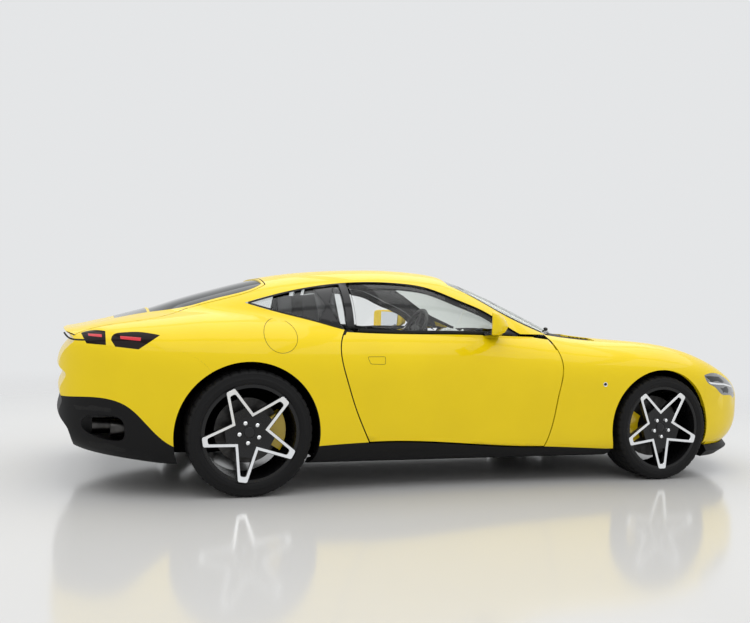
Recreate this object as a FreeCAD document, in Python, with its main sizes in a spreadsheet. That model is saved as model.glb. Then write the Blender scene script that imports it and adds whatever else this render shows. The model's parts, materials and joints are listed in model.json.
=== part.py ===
"""Two-door coupe car, front engined, standing on its wheels.

Millimetres. +X is the nose, +Y the left side, +Z up. The origin lies on the
ground, midway between the two ends and the two sides of the body.
"""
import FreeCAD, Part
import Sketcher

import math
import os

from FreeCAD import Placement, Rotation, Vector

# Driving sizes, one cell each
SIZES = [
    ("wheelbase", 2670),
    ("rear_overhang", 1027),
    ("front_overhang", 959),
    ("body_width", 1974),
    ("roof_height", 1300),
    ("track_front", 1652),
    ("track_rear", 1679),
    ("panel_wall", 28),
    ("quarter_wall", 55),
    ("door_wall", 110),
    ("sill_wall", 70),
    ("glass_wall", 5),
    ("glass_inset", 8),
    ("cowl_inset", 9),
    ("grille_wall", 12),
    ("seat_gap", 0.3),
    ("shut_gap", 7),
    ("door_step", 8),
    ("sill_gap", 6),
    ("glass_gap", 5.5),
    ("bonnet_step", 8),
    ("bonnet_ease", 1),
    ("steer_radius", 400),
    ("steer_half_width", 900),
    ("pillar_gap", 12),
    ("overrun", 40),
    ("tail_bow", 78),
    ("front_arch_radius", 374),
    ("front_arch_lead", -12),
    ("front_arch_height", 333),
    ("rear_arch_radius", 397),
    ("rear_arch_lead", -10),
    ("rear_arch_height", 335),
    ("front_tyre_radius", 333),
    ("front_tyre_width", 245),
    ("rear_tyre_radius", 344),
    ("rear_tyre_width", 285),
    ("rim_flange_radius", 266),
    ("rim_bed_radius", 254),
    ("rim_bed_wall", 6),
    ("rim_flange_wall", 9),
    ("tyre_over_rim", 9),
    ("tyre_shoulder", 26),
    ("tyre_shoulder_drop", 7),
    ("tyre_sidewall_rise", 24),
    ("star_tip_radius", 262),
    ("star_tip_width", 56),
    ("star_root_radius", 108),
    ("star_wall", 26),
    ("window_near_radius", 134),
    ("window_far_radius", 236),
    ("window_near_width", 74),
    ("window_far_width", 34),
    ("hub_pad_radius", 84),
    ("hub_bore_radius", 33.7),
    ("lug_circle_radius", 57.15),
    ("lug_hole_radius", 7.5),
    ("lug_thread_radius", 7),
    ("front_face_outset", 114),
    ("front_hub_outset", 91),
    ("rear_face_outset", 143),
    ("rear_hub_outset", 82),
    ("front_disc_radius", 195),
    ("rear_disc_radius", 180),
    ("disc_wall", 34),
    ("disc_hat_radius", 82),
    ("disc_hat_wall", 8),
    ("disc_hat_depth", 45),
    ("disc_inner_radius", 118),
    ("hub_radius", 45),
    ("stub_radius", 30),
    ("hub_tail", 45),
    ("caliper_gap", 5),
    ("caliper_arm", 27),
    ("caliper_band", 98),
    ("caliper_rise", 32),
    ("caliper_span_angle", 62),
    ("kingpin_inset", 80),
    ("kingpin_radius", 20),
    ("kingpin_reach", 125),
    ("ball_pin_radius", 9),
    ("upright_width", 70),
    ("arm_wall", 24),
    ("arm_base", 300),
    ("arm_nose", 38),
    ("rail_outset", 350),
    ("rail_width", 64),
    ("rail_low", 300),
    ("rail_height", 110),
    ("floor_low", 148),
    ("floor_wall", 20),
    ("floor_half_width", 860),
    ("waist_half_width", 470),
    ("tunnel_half_width", 135),
    ("tunnel_top", 400),
    ("tunnel_wall", 12),
    ("firewall_setback", 575),
    ("firewall_wall", 24),
    ("firewall_top", 850),
    ("firewall_half_width", 700),
    ("bulkhead_setback", 365),
    ("bulkhead_top", 700),
    ("boot_floor_low", 410),
    ("post_length", 130),
    ("post_width", 110),
    ("post_top", 780),
    ("hinge_lead", 62),
    ("hinge_inset", 45),
    ("hinge_pin_radius", 8),
    ("hinge_height", 40),
    ("hinge_wall", 10),
    ("engine_length", 640),
    ("engine_height", 430),
    ("engine_low", 260),
    ("liner_wall", 4),
    ("front_liner_radius", 412),
    ("front_liner_inner", 505),
    ("rear_liner_inner", 640),
    ("liner_rim", 24),
    ("steering_radius", 182),
    ("steering_rim", 15),
    ("column_tilt", 24),
    ("column_radius", 22),
    ("seat_width", 480),
    ("seat_offset", 385),
    ("mirror_length", 170),
    ("mirror_height", 132),
    ("exhaust_radius", 43),
    ("exhaust_wall", 4),
    ("exhaust_length", 200),
    ("exhaust_place", 362),
    ("hub_pad_depth", 45),
    ("cap_wall", 8),
    ("front_star_phase", -160.9),
    ("rear_star_phase", -170.9),
    ("tyre_bulge", 8),
    ("bearing_gap", 0.4),
    ("caliper_depth", 62),
    ("stub_nose", 30),
    ("bracket_reach", 190),
    ("bracket_height", 120),
    ("bracket_wall", 22),
    ("rear_liner_radius", 436),
    ("rail_overhang", 420),
    ("beam_wall", 50),
    ("beam_half_width", 520),
    ("bulkhead_half_width", 560),
    ("post_setback", 140),
    ("seat_length", 900),
    ("seat_height", 960),
    ("seat_round", 24),
    ("dash_low", 600),
    ("dash_depth", 330),
    ("dash_height", 270),
    ("dash_width", 1330),
    ("column_length", 230),
    ("steering_lead", 134),
    ("steering_height", 880),
    ("latch_radius", 14),
    ("rail_top", 410),
    ("boot_floor_top", 430),
    ("mirror_lead", 140),
    ("mirror_outset", 987),
    ("mirror_place", 990),
    ("mirror_stem", 60),
    ("mend_tolerance", 0.01),
    ("tow_eye_radius", 8),
    ("tow_eye_depth", 45),
]

# Body tables: place along the body, then the value there. Places run from -2
# at the tail through -1 and 1 at the axles to 2 at the nose. Widths are shares
# of half the body width, heights are shares of the roof height.
WIDTH_SHARES = [
    (-2.0, 0.405), (-1.99, 0.476), (-1.974, 0.557), (-1.949, 0.628),
    (-1.901, 0.704), (-1.803, 0.795), (-1.648, 0.887), (-1.404, 0.968),
    (-1.0, 1.0), (-0.712, 0.981), (-0.375, 0.95), (0.0, 0.937),
    (0.375, 0.942), (0.712, 0.963), (1.0, 0.973), (1.297, 0.947),
    (1.537, 0.883), (1.746, 0.775), (1.871, 0.648), (1.954, 0.476),
    (1.986, 0.334), (2.0, 0.203),
]
DECK_SHARES = [
    (-2.0, 0.666), (-1.969, 0.671), (-1.901, 0.681), (-1.745, 0.712),
    (-1.453, 0.758), (-1.161, 0.792), (-0.899, 0.804), (-0.599, 0.8),
    (0.0, 0.796), (0.375, 0.758), (0.599, 0.712), (0.787, 0.688),
    (0.936, 0.674), (1.12, 0.658), (1.328, 0.633), (1.537, 0.595),
    (1.746, 0.538), (1.902, 0.478), (1.965, 0.448), (1.991, 0.419),
    (2.0, 0.385),
]
BELLY_SHARES = [
    (-2.0, 0.277), (-1.969, 0.231), (-1.91, 0.188), (-1.842, 0.165),
    (-1.725, 0.146), (-1.501, 0.123), (-1.404, 0.115), (-0.749, 0.109),
    (0.0, 0.108), (0.749, 0.106), (1.381, 0.108), (1.693, 0.115),
    (1.85, 0.127), (1.954, 0.154), (1.985, 0.192), (2.0, 0.231),
]
CORE_SHARES = [
    (-2.0, 0.492), (-1.842, 0.477), (-1.0, 0.462), (-0.375, 0.431),
    (0.375, 0.415), (1.0, 0.431), (1.693, 0.385), (2.0, 0.315),
]
ROOF_SHARES = [
    (-2.0, 0.462), (-1.891, 0.615), (-1.693, 0.712), (-1.511, 0.767),
    (-1.325, 0.823), (-1.119, 0.875), (-0.891, 0.932), (-0.674, 0.971),
    (-0.449, 0.992), (-0.262, 1.0), (-0.075, 0.992), (0.075, 0.958),
    (0.225, 0.9), (0.375, 0.831), (0.524, 0.758), (0.637, 0.704),
    (0.749, 0.646), (0.974, 0.508),
]
CABIN_SHARES = [
    (-2.0, 0.405), (-1.842, 0.507), (-1.648, 0.593), (-1.355, 0.674),
    (-0.974, 0.765), (-0.674, 0.831), (-0.375, 0.859), (0.0, 0.871),
    (0.375, 0.879), (0.974, 0.881),
]
BLEND_SHARES = [(-2.0, 0.051), (-1.55, 0.051), (-1.063, 0.037), (-0.375, 0.03)]
# Section exponents: 2 is an ellipse, larger is squarer
UPPER_POWERS = [
    (-2.0, 7.0), (-1.901, 6.3), (-1.745, 4.8), (-1.55, 3.7), (-1.355, 3.2),
    (-1.0, 2.9), (-0.375, 3.2), (0.375, 3.3), (0.674, 3.8), (1.0, 4.2),
    (1.381, 4.1), (1.62, 3.8), (1.798, 3.4), (2.0, 3.0),
]
LOWER_POWERS = [
    (-2.0, 6.0), (-1.842, 7.0), (-1.0, 9.0), (0.0, 10.0), (1.0, 9.0),
    (1.485, 7.0), (1.693, 4.5), (1.85, 3.2), (2.0, 2.6),
]
CABIN_POWER = 2.9
CABIN_SKIRT_SHARE = 0.12
LEAST_CABIN_SHARE = 0.015
# Wing crest: height, half width, centre across and centre along
CREST_RISE_SHARE = 0.0567
CREST_ACROSS_SHARES = (0.699, 0.172)
CREST_ALONG_SHARES = (1.15, 0.315)
CREST_SINE = 0.4
# Largest growth of a wall where the skin slopes along the car
STEEPEST = 1.8

doc = FreeCAD.newDocument("Coupe")
sheet = doc.addObject("Spreadsheet::Sheet", "Sizes")
for row, (alias, value) in enumerate(SIZES, start=1):
    sheet.set("A%d" % row, alias)
    sheet.set("B%d" % row, "%g" % value)
    sheet.setAlias("B%d" % row, alias)
doc.recompute()

nodes = []


def mm(alias):
    """Value of a named size, in millimetres or degrees."""
    return float(sheet.get(alias))


class Bound:
    """A number together with the expression over the sheet that gives it."""

    def __init__(self, value, text):
        self.value = value
        self.text = text

    def combine(self, other, sign, value):
        text = other.text if isinstance(other, Bound) else "%.9g" % other
        return Bound(value, "(%s %s %s)" % (self.text, sign, text))

    def __add__(self, other):
        return self.combine(other, "+", self.value + plain(other))

    def __sub__(self, other):
        return self.combine(other, "-", self.value - plain(other))

    def __mul__(self, other):
        return self.combine(other, "*", self.value * plain(other))

    def __truediv__(self, other):
        return self.combine(other, "/", self.value / plain(other))

    def __neg__(self):
        return self * -1


def plain(number):
    return number.value if isinstance(number, Bound) else number


def size(alias):
    """A named size, bound to its cell."""
    return Bound(mm(alias), "Sizes." + alias)


def bind(feature, prop, number):
    """Drive a property of a feature by an expression over the sheet."""
    feature.setExpression(prop, number.text)


NOTHING = Bound(0, "0")


def place(feature, spot, rotation=None):
    """Set a feature at a bound spot."""
    if rotation is not None:
        feature.Placement = Placement(Vector(), rotation)
    for axis, number in zip("xyz", spot):
        bind(feature, "Placement.Base." + axis, number)


def add_node(feature, label):
    feature.Label = label
    nodes.append(feature)
    return feature


# Directions that a cylinder can stand in
TO_X = Rotation(Vector(0, 0, 1), Vector(1, 0, 0))
TO_Y = Rotation(Vector(0, 0, 1), Vector(0, 1, 0))


def box(label, sides, corner):
    feature = doc.addObject("Part::Box", label)
    for prop, number in zip(("Length", "Width", "Height"), sides):
        bind(feature, prop, number)
    place(feature, corner)
    return feature


def block(label, xs, ys, zs, side=1):
    """A box between limits, those of Y counted outwards on its side."""
    low = ys[0] if side > 0 else -ys[1]
    return box(label, (xs[1] - xs[0], ys[1] - ys[0], zs[1] - zs[0]), (xs[0], low, zs[0]))


def cylinder(label, radius, height, foot, rotation=None):
    feature = doc.addObject("Part::Cylinder", label)
    bind(feature, "Radius", radius)
    bind(feature, "Height", height)
    place(feature, foot, rotation)
    return feature


def cross_bar(label, radius, x, ys, z, side=1):
    """A cylinder along Y between limits counted outwards on its side."""
    low = ys[0] if side > 0 else -ys[1]
    return cylinder(label, radius, ys[1] - ys[0], (x, low, z), TO_Y)


def fused(label, features):
    feature = doc.addObject("Part::MultiFuse", label)
    feature.Shapes = features
    return feature


def cut(label, base, tool):
    feature = doc.addObject("Part::Cut", label)
    feature.Base = base
    feature.Tool = tool
    return feature


def flipped(label, source):
    """The mirror image of a feature on the other side of the car."""
    feature = doc.addObject("Part::Mirroring", label)
    feature.Source = source
    feature.Normal = Vector(0, 1, 0)
    return feature


def bodies(label, features):
    """Solids of one node that don't touch."""
    feature = doc.addObject("Part::Compound", label)
    feature.Links = features
    return feature


def sketch(body, name, role, corners):
    """A closed polygon on an origin plane, each corner bound to the sheet."""
    profile = body.newObject("Sketcher::SketchObject", name)
    plane = [item for item in body.Origin.OriginFeatures if item.Role == role][0]
    profile.AttachmentSupport = [(plane, "")]
    profile.MapMode = "FlatFace"
    ends = corners[1:] + corners[:1]
    for start, end in zip(corners, ends):
        line = Part.LineSegment(
            Vector(start[0].value, start[1].value, 0), Vector(end[0].value, end[1].value, 0))
        profile.addGeometry(line)
    for i in range(len(corners)):
        profile.addConstraint(Sketcher.Constraint("Coincident", i, 2, (i + 1) % len(corners), 1))
    for i, corner in enumerate(corners):
        for kind, number in zip(("DistanceX", "DistanceY"), corner):
            made = profile.addConstraint(Sketcher.Constraint(kind, -1, 1, i, 1, number.value))
            profile.setExpression("Constraints[%d]" % made, number.text)
    return profile


def turned(body, name, corners, kind="PartDesign::Revolution", angle=360):
    """Revolve a profile of radii and places along Y about the Y axis."""
    profile = sketch(body, name + "_profile", "XY_Plane", corners)
    feature = body.newObject(kind, name)
    feature.Profile = profile
    feature.ReferenceAxis = (profile, ["V_Axis"])
    feature.Angle = angle
    return feature


def padded(body, name, role, corners, depth, middle=False, back=False):
    """Pad a polygon by a bound depth."""
    profile = sketch(body, name + "_profile", role, corners)
    feature = body.newObject("PartDesign::Pad", name)
    feature.Profile = profile
    feature.Midplane = middle
    feature.Reversed = back
    bind(feature, "Length", depth)
    return feature


# Places and shares. The tail's own profile ends a little short of place -2.
TAIL_REACH_SHARE = 0.991
half_base = mm("wheelbase") / 2
half_width = mm("body_width") / 2
axle_shift = (mm("rear_overhang") * TAIL_REACH_SHARE - mm("front_overhang")) / 2
front_axle = half_base + axle_shift
rear_axle = axle_shift - half_base
tail_end = rear_axle - mm("rear_overhang")
nose_end = front_axle + mm("front_overhang")


def along(share):
    """Place along the body, from -2 at the tail to 2 at the nose."""
    if share < -1:
        return rear_axle + (share + 1) * mm("rear_overhang")
    if share > 1:
        return front_axle + (share - 1) * mm("front_overhang")
    return axle_shift + share * half_base


def across(share):
    return share * half_width


def up(share):
    return share * mm("roof_height")


def smooth(table, scale):
    """Monotone curve through a table of places and values."""
    xs = [along(place) for place, value in table]
    ys = [value * scale for place, value in table]
    steps = [b - a for a, b in zip(xs, xs[1:])]
    slopes = [(b - a) / step for a, b, step in zip(ys, ys[1:], steps)]
    tangents = [slopes[0]]
    for i in range(1, len(xs) - 1):
        if slopes[i - 1] * slopes[i] <= 0:
            tangents.append(0)
            continue
        before = 2 * steps[i] + steps[i - 1]
        after = steps[i] + 2 * steps[i - 1]
        mean = (before + after) / (before / slopes[i - 1] + after / slopes[i])
        tangents.append(mean)
    tangents.append(slopes[-1])

    def curve(x):
        if x <= xs[0]:
            return ys[0]
        if x >= xs[-1]:
            return ys[-1]
        i = 0
        while x > xs[i + 1]:
            i += 1
        t = (x - xs[i]) / steps[i]
        start = ys[i] * (1 + 2 * t) * (1 - t) ** 2
        leave = steps[i] * tangents[i] * t * (1 - t) ** 2
        end = ys[i + 1] * t * t * (3 - 2 * t)
        arrive = steps[i] * tangents[i + 1] * t * t * (t - 1)
        return start + leave + end + arrive

    return curve


body_half_width = smooth(WIDTH_SHARES, half_width)
deck_height = smooth(DECK_SHARES, mm("roof_height"))
belly_height = smooth(BELLY_SHARES, mm("roof_height"))
core_height = smooth(CORE_SHARES, mm("roof_height"))
cabin_height = smooth(ROOF_SHARES, mm("roof_height"))
cabin_half_width = smooth(CABIN_SHARES, half_width)
blend_width = smooth(BLEND_SHARES, half_width)
upper_power = smooth(UPPER_POWERS, 1)
lower_power = smooth(LOWER_POWERS, 1)


def oval(half, rise, power, cosine, sine):
    """Radius of a superellipse in the direction of an angle."""
    return ((abs(cosine) / half) ** power + (abs(sine) / rise) ** power) ** (-1 / power)


def lower_radius(x, angle, wall=0):
    """Lower body: bumpers, wings, doors and deck."""
    cosine = math.cos(angle)
    sine = math.sin(angle)
    half = body_half_width(x) - wall
    core = core_height(x)
    if sine < 0:
        rise = core - belly_height(x) - wall
        return oval(half, rise, lower_power(x), cosine, sine)
    rise = deck_height(x) - core - wall
    radius = oval(half, rise, upper_power(x), cosine, sine)
    centre, width = CREST_ACROSS_SHARES
    middle, reach = CREST_ALONG_SHARES
    aside = (radius * abs(cosine) - across(centre)) / across(width)
    ahead = (x - along(middle)) / (half_base * reach)
    crest = across(CREST_RISE_SHARE) * math.exp(-aside ** 2 - ahead ** 2)
    ramp = min(sine / CREST_SINE, 1)
    return radius + crest * ramp * ramp * (3 - 2 * ramp)


def upper_radius(x, angle, wall=0):
    """Cabin: roof, pillars and glass."""
    cosine = math.cos(angle)
    sine = math.sin(angle)
    half = cabin_half_width(x) - wall
    rise = max(cabin_height(x) - core_height(x) - wall, up(LEAST_CABIN_SHARE))
    if sine < 0:
        rise = up(CABIN_SKIRT_SHARE) - wall
    return oval(half, rise, CABIN_POWER, cosine, sine)


def rear_radius(x, angle, wall=0):
    """Cabin and lower body run together over the rear wheels."""
    low = lower_radius(x, angle, wall)
    if math.sin(angle) <= 0:
        return low
    high = upper_radius(x, angle, wall)
    blend = blend_width(x)
    near = max(blend - abs(low - high), 0) / blend
    return max(low, high) + near * near * blend / 4


def inset_radius(radius, wall):
    """The same surface moved inwards by a wall, more where it slopes."""
    step = half_base / 10000

    def inner(x, angle):
        outer = radius(x, angle)
        y = outer * math.cos(angle)
        z = core_height(x) + outer * math.sin(angle)

        def proud(place):
            rise = z - core_height(place)
            return math.hypot(y, rise) - radius(place, math.atan2(rise, y))

        ahead = (proud(x + step) - proud(x - step)) / (2 * step)
        steep = min(math.hypot(1, ahead), STEEPEST)
        return radius(x, angle, wall * steep)

    return inner


def section_places(low, high, count, ends):
    """Places of the sections, closer together towards the named ends.

    A clamped cubic spline has one more pole a third of the way into its
    first and its last span, so a section stands there too.
    """
    places = []
    for step in [0, 1 / 3] + list(range(1, count)) + [count - 1 / 3, count]:
        t = step / count
        if ends == "both":
            t = (1 - math.cos(math.pi * t)) / 2
        elif ends == "low":
            t = 1 - math.cos(math.pi / 2 * t)
        places.append(low + (high - low) * t)
    return places


def pole(before, point, after):
    """Pole that lets a uniform cubic spline pass through its point."""
    return point * (4 / 3) - (before + after) * (1 / 6)


def skin_solid(places, radius, columns):
    """Closed solid inside a cubic skin through sections at the places."""
    rows = []
    for x in places:
        points = []
        for column in range(columns):
            angle = 2 * math.pi * column / columns - math.pi / 2
            r = radius(x, angle)
            z = core_height(x) + r * math.sin(angle)
            points.append(Vector(x, r * math.cos(angle), z))
        after = points[1:] + points[:1]
        rows.append([pole(*three) for three in zip(points[-1:] + points[:-1], points, after)])
    poles = list(rows)
    for i in range(2, len(rows) - 2):
        before = rows[i - 1] if i > 2 else rows[0]
        after = rows[i + 1] if i < len(rows) - 3 else rows[-1]
        poles[i] = [pole(*three) for three in zip(before, rows[i], after)]
    spans = len(places) - 3
    surface = Part.BSplineSurface()
    surface.buildFromPolesMultsKnots(
        poles,
        [4] + [1] * (spans - 1) + [4],
        [1] * (columns + 1),
        list(range(spans + 1)),
        list(range(columns + 1)),
        False, True, 3, 3)
    surface.setVNotPeriodic()
    face = surface.toShape()
    caps = [Part.Face(Part.Wire([edge])) for edge in face.Edges if edge.isClosed()]
    shell = Part.makeShell([face] + caps)
    shell.sewShape()
    solid = Part.Solid(shell)
    if solid.Volume < 0:
        solid.reverse()
    return solid


def skin(radius, low, high, count, ends, columns, wall):
    """Skin between two places along the body, pulled in by a wall."""
    places = section_places(along(low) + wall, along(high) - wall, count, ends)
    shape = radius if wall == 0 else inset_radius(radius, wall)
    return skin_solid(places, shape, columns)


def lower_skin(wall=0):
    return skin(lower_radius, -2, 2, 40, "both", 72, wall)


def lower_lining(wall):
    """A deep inset of the lower skin between the axles."""
    return skin(lower_radius, -0.9, 0.9, 16, "none", 96, wall)


def upper_skin(wall=0):
    return skin(upper_radius, -1.05, 0.77, 20, "none", 72, wall)


def rear_skin(wall=0):
    return skin(rear_radius, -2, -0.37, 28, "low", 108, wall)


# Outlines. A side outline holds places along and heights, a plan outline
# places along and shares of the half width. Each run is a smooth curve
# through its points, and a run of two points is straight.
DOOR_REAR_SHARES = [(-0.586, 0.701), (-0.622, 0.628), (-0.598, 0.485), (-0.55, 0.348), (-0.49, 0.216)]
DOOR_SILL_SHARES = [(-0.49, 0.216), (-0.255, 0.213), (-0.028, 0.197), (0.36, 0.177)]
DOOR_FRONT_SHARES = [(0.36, 0.177), (0.404, 0.304), (0.429, 0.43), (0.452, 0.556), (0.443, 0.638), (0.43, 0.696)]
DOOR_BELT_SHARES = [(0.43, 0.696), (0.283, 0.698), (-0.009, 0.701), (-0.333, 0.697), (-0.586, 0.701)]
WINDOW_BELT_SHARES = [(-0.995, 0.808), (-0.845, 0.765), (-0.695, 0.729), (-0.586, 0.701)]
WINDOW_HEAD_SHARES = [
    (0.283, 0.698), (0.234, 0.723), (0.128, 0.795), (-0.025, 0.859),
    (-0.151, 0.908), (-0.276, 0.925), (-0.374, 0.927), (-0.604, 0.909),
    (-0.829, 0.861), (-0.995, 0.808),
]
SILL_LINE_SHARES = [(-0.76, 0.204), (-0.49, 0.216), (-0.255, 0.213), (-0.028, 0.197), (0.36, 0.177), (0.72, 0.158)]
DIFFUSER_LINE_SHARES = [(-2.05, 0.4), (-1.958, 0.396), (-1.753, 0.403), (-1.635, 0.378), (-1.539, 0.313), (-1.455, 0.247), (-1.33, 0.2)]
HEADLAMP_SHARES = [
    [(1.348, 0.518), (1.569, 0.512), (1.651, 0.487), (1.732, 0.452), (1.756, 0.423)],
    [(1.756, 0.423), (1.733, 0.387)],
    [(1.733, 0.387), (1.641, 0.41), (1.539, 0.418), (1.445, 0.46), (1.399, 0.471), (1.348, 0.518)],
]
OUTER_LAMP_SHARES = [
    [(-1.711, 0.637), (-1.7, 0.658), (-1.657, 0.668), (-1.57, 0.672), (-1.471, 0.662)],
    [(-1.471, 0.662), (-1.577, 0.603)],
    [(-1.577, 0.603), (-1.69, 0.611)],
    [(-1.69, 0.611), (-1.711, 0.637)],
]
INNER_LAMP_SHARES = [
    [(-1.86, 0.66), (-1.831, 0.668), (-1.74, 0.671)],
    [(-1.74, 0.671), (-1.735, 0.616)],
    [(-1.735, 0.616), (-1.83, 0.619)],
    [(-1.83, 0.619), (-1.86, 0.66)],
]
TAIL_SHARES = [
    (-1.966, 0.671), (-1.957, 0.66), (-1.936, 0.645), (-1.93, 0.627),
    (-1.944, 0.612), (-1.974, 0.581), (-1.991, 0.538), (-1.988, 0.512),
    (-1.967, 0.496), (-1.985, 0.428), (-1.976, 0.377), (-1.987, 0.323),
    (-1.95, 0.27), (-1.906, 0.186), (-1.855, 0.143),
]
REAR_SEAM_SHARES = [(-2.1, 0.637), (-1.86, 0.637), (-1.83, 0.627), (-1.577, 0.611), (-1.2, 0.507)]
FRONT_SEAM_SHARES = [(1.35, 0.05), (1.35, 0.516), (2.1, 0.516), (2.1, 0.05)]
WINDSCREEN_FOOT_SHARES = [(0.75, 0.728), (0.44, 0.728)]
WINDSCREEN_SIDE_SHARES = [(0.44, 0.728), (0.322, 0.725), (0.204, 0.698), (0.072, 0.622), (-0.022, 0.547)]
BACKLIGHT_SHARES = [(-0.9, 0.428), (-0.925, 0.462), (-1.15, 0.476), (-1.307, 0.47), (-1.433, 0.43), (-1.5, 0.39)]
FLAP_SHARES = [(-1.514, 0.383), (-1.6, 0.352), (-1.69, 0.34)]
TAILGATE_SHARES = [
    [(-0.888, 0.455), (-0.925, 0.492), (-1.15, 0.505), (-1.316, 0.505)],
    [(-1.316, 0.505), (-1.355, 0.534), (-1.453, 0.628), (-1.599, 0.669), (-1.7, 0.669)],
    [(-1.7, 0.669), (-2.1, 0.669)],
]
BONNET_FRONT_SHARES = [(1.902, 0.0), (1.871, 0.304), (1.777, 0.507)]
BONNET_SIDE_SHARES = [(1.777, 0.507), (1.589, 0.608), (1.276, 0.638), (0.899, 0.628), (0.569, 0.608)]
BONNET_REAR_SHARES = [(0.569, 0.608), (0.63, 0.507), (0.686, 0.304), (0.705, 0.0)]
COWL_SHARES = [(0.72, 0.722), (0.3, 0.722)]
# The roof's lower limit runs inside the window openings where it passes them
ROOF_SEAM_SHARES = [(-0.93, 0.81), (-0.845, 0.79), (-0.695, 0.755), (-0.56, 0.735)]
CABIN_LINE_SHARES = [[(-0.56, 0.735), (0.2, 0.712)], [(0.2, 0.712), (0.27, 0.701)], [(0.27, 0.701), (0.9, 0.701)]]
HEADLAMP_INNER_SHARE = 0.3
TAIL_LAMP_INNER_SHARE = 0.46
DOOR_INNER_SHARE = 0.79
DOOR_STEP_SHARE = 0.872
SILL_INNER_SHARE = 0.81
# Limits that lie clear of the panels
BELOW_SHARE = 0.03
ABOVE_SHARE = 1.1
CORE_CLEAR_SHARE = 0.36
GRILLE_SHARES = [(0.5, 0.345), (0.44, 0.215)]
GRILLE_PLATE_SHARES = [(0.53, 0.36), (0.47, 0.2)]
PILLAR_SHARES = (-0.572, -0.538)
DOOR_GLASS_SHARE = -0.531
EXHAUST_OPENING_SHARES = [
    (-1.84, 0.312), (-1.8, 0.333), (-1.72, 0.334), (-1.65, 0.318), (-1.632, 0.28), (-1.64, 0.238),
    (-1.7, 0.232), (-1.79, 0.25), (-1.835, 0.275),
]
EXHAUST_INNER_SHARE = 0.6
# Mirror housing from the side, as shares of its length and height, and its
# layers: place across, and how much of the outline stands there
MIRROR_SHARES = [
    (-0.5, 0.5), (0.1, 0.53), (0.36, 0.42), (0.56, -0.1), (0.5, -0.28), (0.0, -0.5), (-0.46, -0.52), (-0.52, 0.0)]
MIRROR_LAYERS = [(0.945, 0.62), (0.975, 0.9), (1.03, 1.0), (1.07, 0.92), (1.1, 0.6)]
MIRROR_FOOT_SHARE = 0.69
# Tail pipes: place of the end along the body, and place across
EXHAUST_SHARES = [(-1.79, 0.705), (-1.7, 0.805)]
SPLITTER_SEAM_SHARE = 0.1618
SPLITTER_LAYERS = [(0.1, -0.02), (0.135, 0.024), (0.1616, 0.004)]
SPLITTER_STEPS = 12
LINER_LOW_SHARE = 0.19
LATCHES = [(1.6, "rail_top", "front"), (0.75, "rail_top", "front"), (-1.8, "boot_floor_top", "rear")]
# Seat and dashboard seen from the side: shares of their length and height
SEAT_SHARES = [
    (0.02, 0.0), (0.02, 0.3), (-0.06, 0.4), (-0.56, 0.27), (-0.82, 0.86),
    (-0.85, 1.0), (-0.95, 0.99), (-0.94, 0.84), (-0.78, 0.2), (-0.62, 0.0),
]
DASH_SHARES = [(0.0, 0.0), (0.0, 0.98), (-0.35, 1.0), (-0.93, 0.88), (-1.0, 0.7), (-0.72, 0.1), (-0.6, 0.0)]


def run_edge(points):
    """One edge through the points of a run."""
    if len(points) == 2:
        return Part.makeLine(points[0], points[1])
    curve = Part.BSplineCurve()
    curve.interpolate(points)
    return curve.toShape()


def outline_face(runs):
    return Part.Face(Part.Wire([run_edge(run) for run in runs]))


def side_points(shares):
    return [Vector(along(place), 0, up(height)) for place, height in shares]


def plan_points(shares, side=1):
    return [Vector(along(place), side * across(width), 0) for place, width in shares]


def side_prism(face, low, high):
    """A side outline stretched over a range of Y."""
    moved = face.copy()
    moved.translate(Vector(0, low, 0))
    return moved.extrude(Vector(0, high - low, 0))


def plan_prism(face, low=None, high=None):
    """A plan outline stretched over a range of Z."""
    low = 0 if low is None else low
    high = mm("roof_height") + mm("overrun") if high is None else high
    moved = face.copy()
    moved.translate(Vector(0, 0, low))
    return moved.extrude(Vector(0, 0, high - low))


def grown(face, distance):
    """The same outline moved outwards, or inwards where negative."""
    return face.makeOffset2D(distance).toNurbs().Faces[0]


def mirrored(shape):
    """The shape on the other side of the car."""
    image = shape.mirror(Vector(0, 0, 0), Vector(0, 1, 0))
    if not image.isValid():
        fine = mm("mend_tolerance")
        image.fix(fine, fine, fine)
    return image


def pair(shape):
    """The shape and its mirror image as one shape."""
    return Part.makeCompound([shape, mirrored(shape)])


def clean(shape):
    """The shape's solids alone, largest first."""
    solids = sorted(shape.Solids, key=lambda solid: -solid.Volume)
    if len(solids) == 1:
        return solids[0]
    return Part.makeCompound(solids)


def largest(shape):
    return max(shape.Solids, key=lambda solid: solid.Volume)


def add_shape(label, shape):
    """A sub-part whose shape comes from the body skin."""
    feature = doc.addObject("Part::Feature", label)
    feature.Label = label
    feature.Shape = shape
    feature.Placement = Placement()
    nodes.append(feature)
    return feature


wide = mm("body_width")
right = (-wide, 0)
left = (0, wide)
gap = mm("shut_gap")
seat = mm("seat_gap")


def timed(label):
    import time
    now = time.time()
    print("%-24s %6.2f" % (label, now - timed.last), flush=True)
    timed.last = now


import time
timed.last = time.time()

# Outlines seen from the side
def side_face(runs):
    return outline_face([side_points(run) for run in runs])


def closed(points):
    """Straight runs round a closed outline."""
    return [list(run) for run in zip(points, points[1:] + points[:1])]


def below_face(line):
    """Everything below a line that runs towards the nose."""
    low = [(line[-1][0], BELOW_SHARE), (line[0][0], BELOW_SHARE)]
    return side_face([line, [line[-1], low[0]], low, [low[1], line[0]]])


def above_face(lines):
    """Everything above lines that run towards the nose."""
    last = lines[-1][-1]
    first = lines[0][0]
    high = [(last[0], ABOVE_SHARE), (first[0], ABOVE_SHARE)]
    return side_face(lines + [[last, high[0]], high, [high[1], first]])


def side_box(low, high, bottom, top):
    """Side outline of a box given by its limits as shares."""
    return side_face(closed([(low, bottom), (high, bottom), (high, top), (low, top)]))


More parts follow.
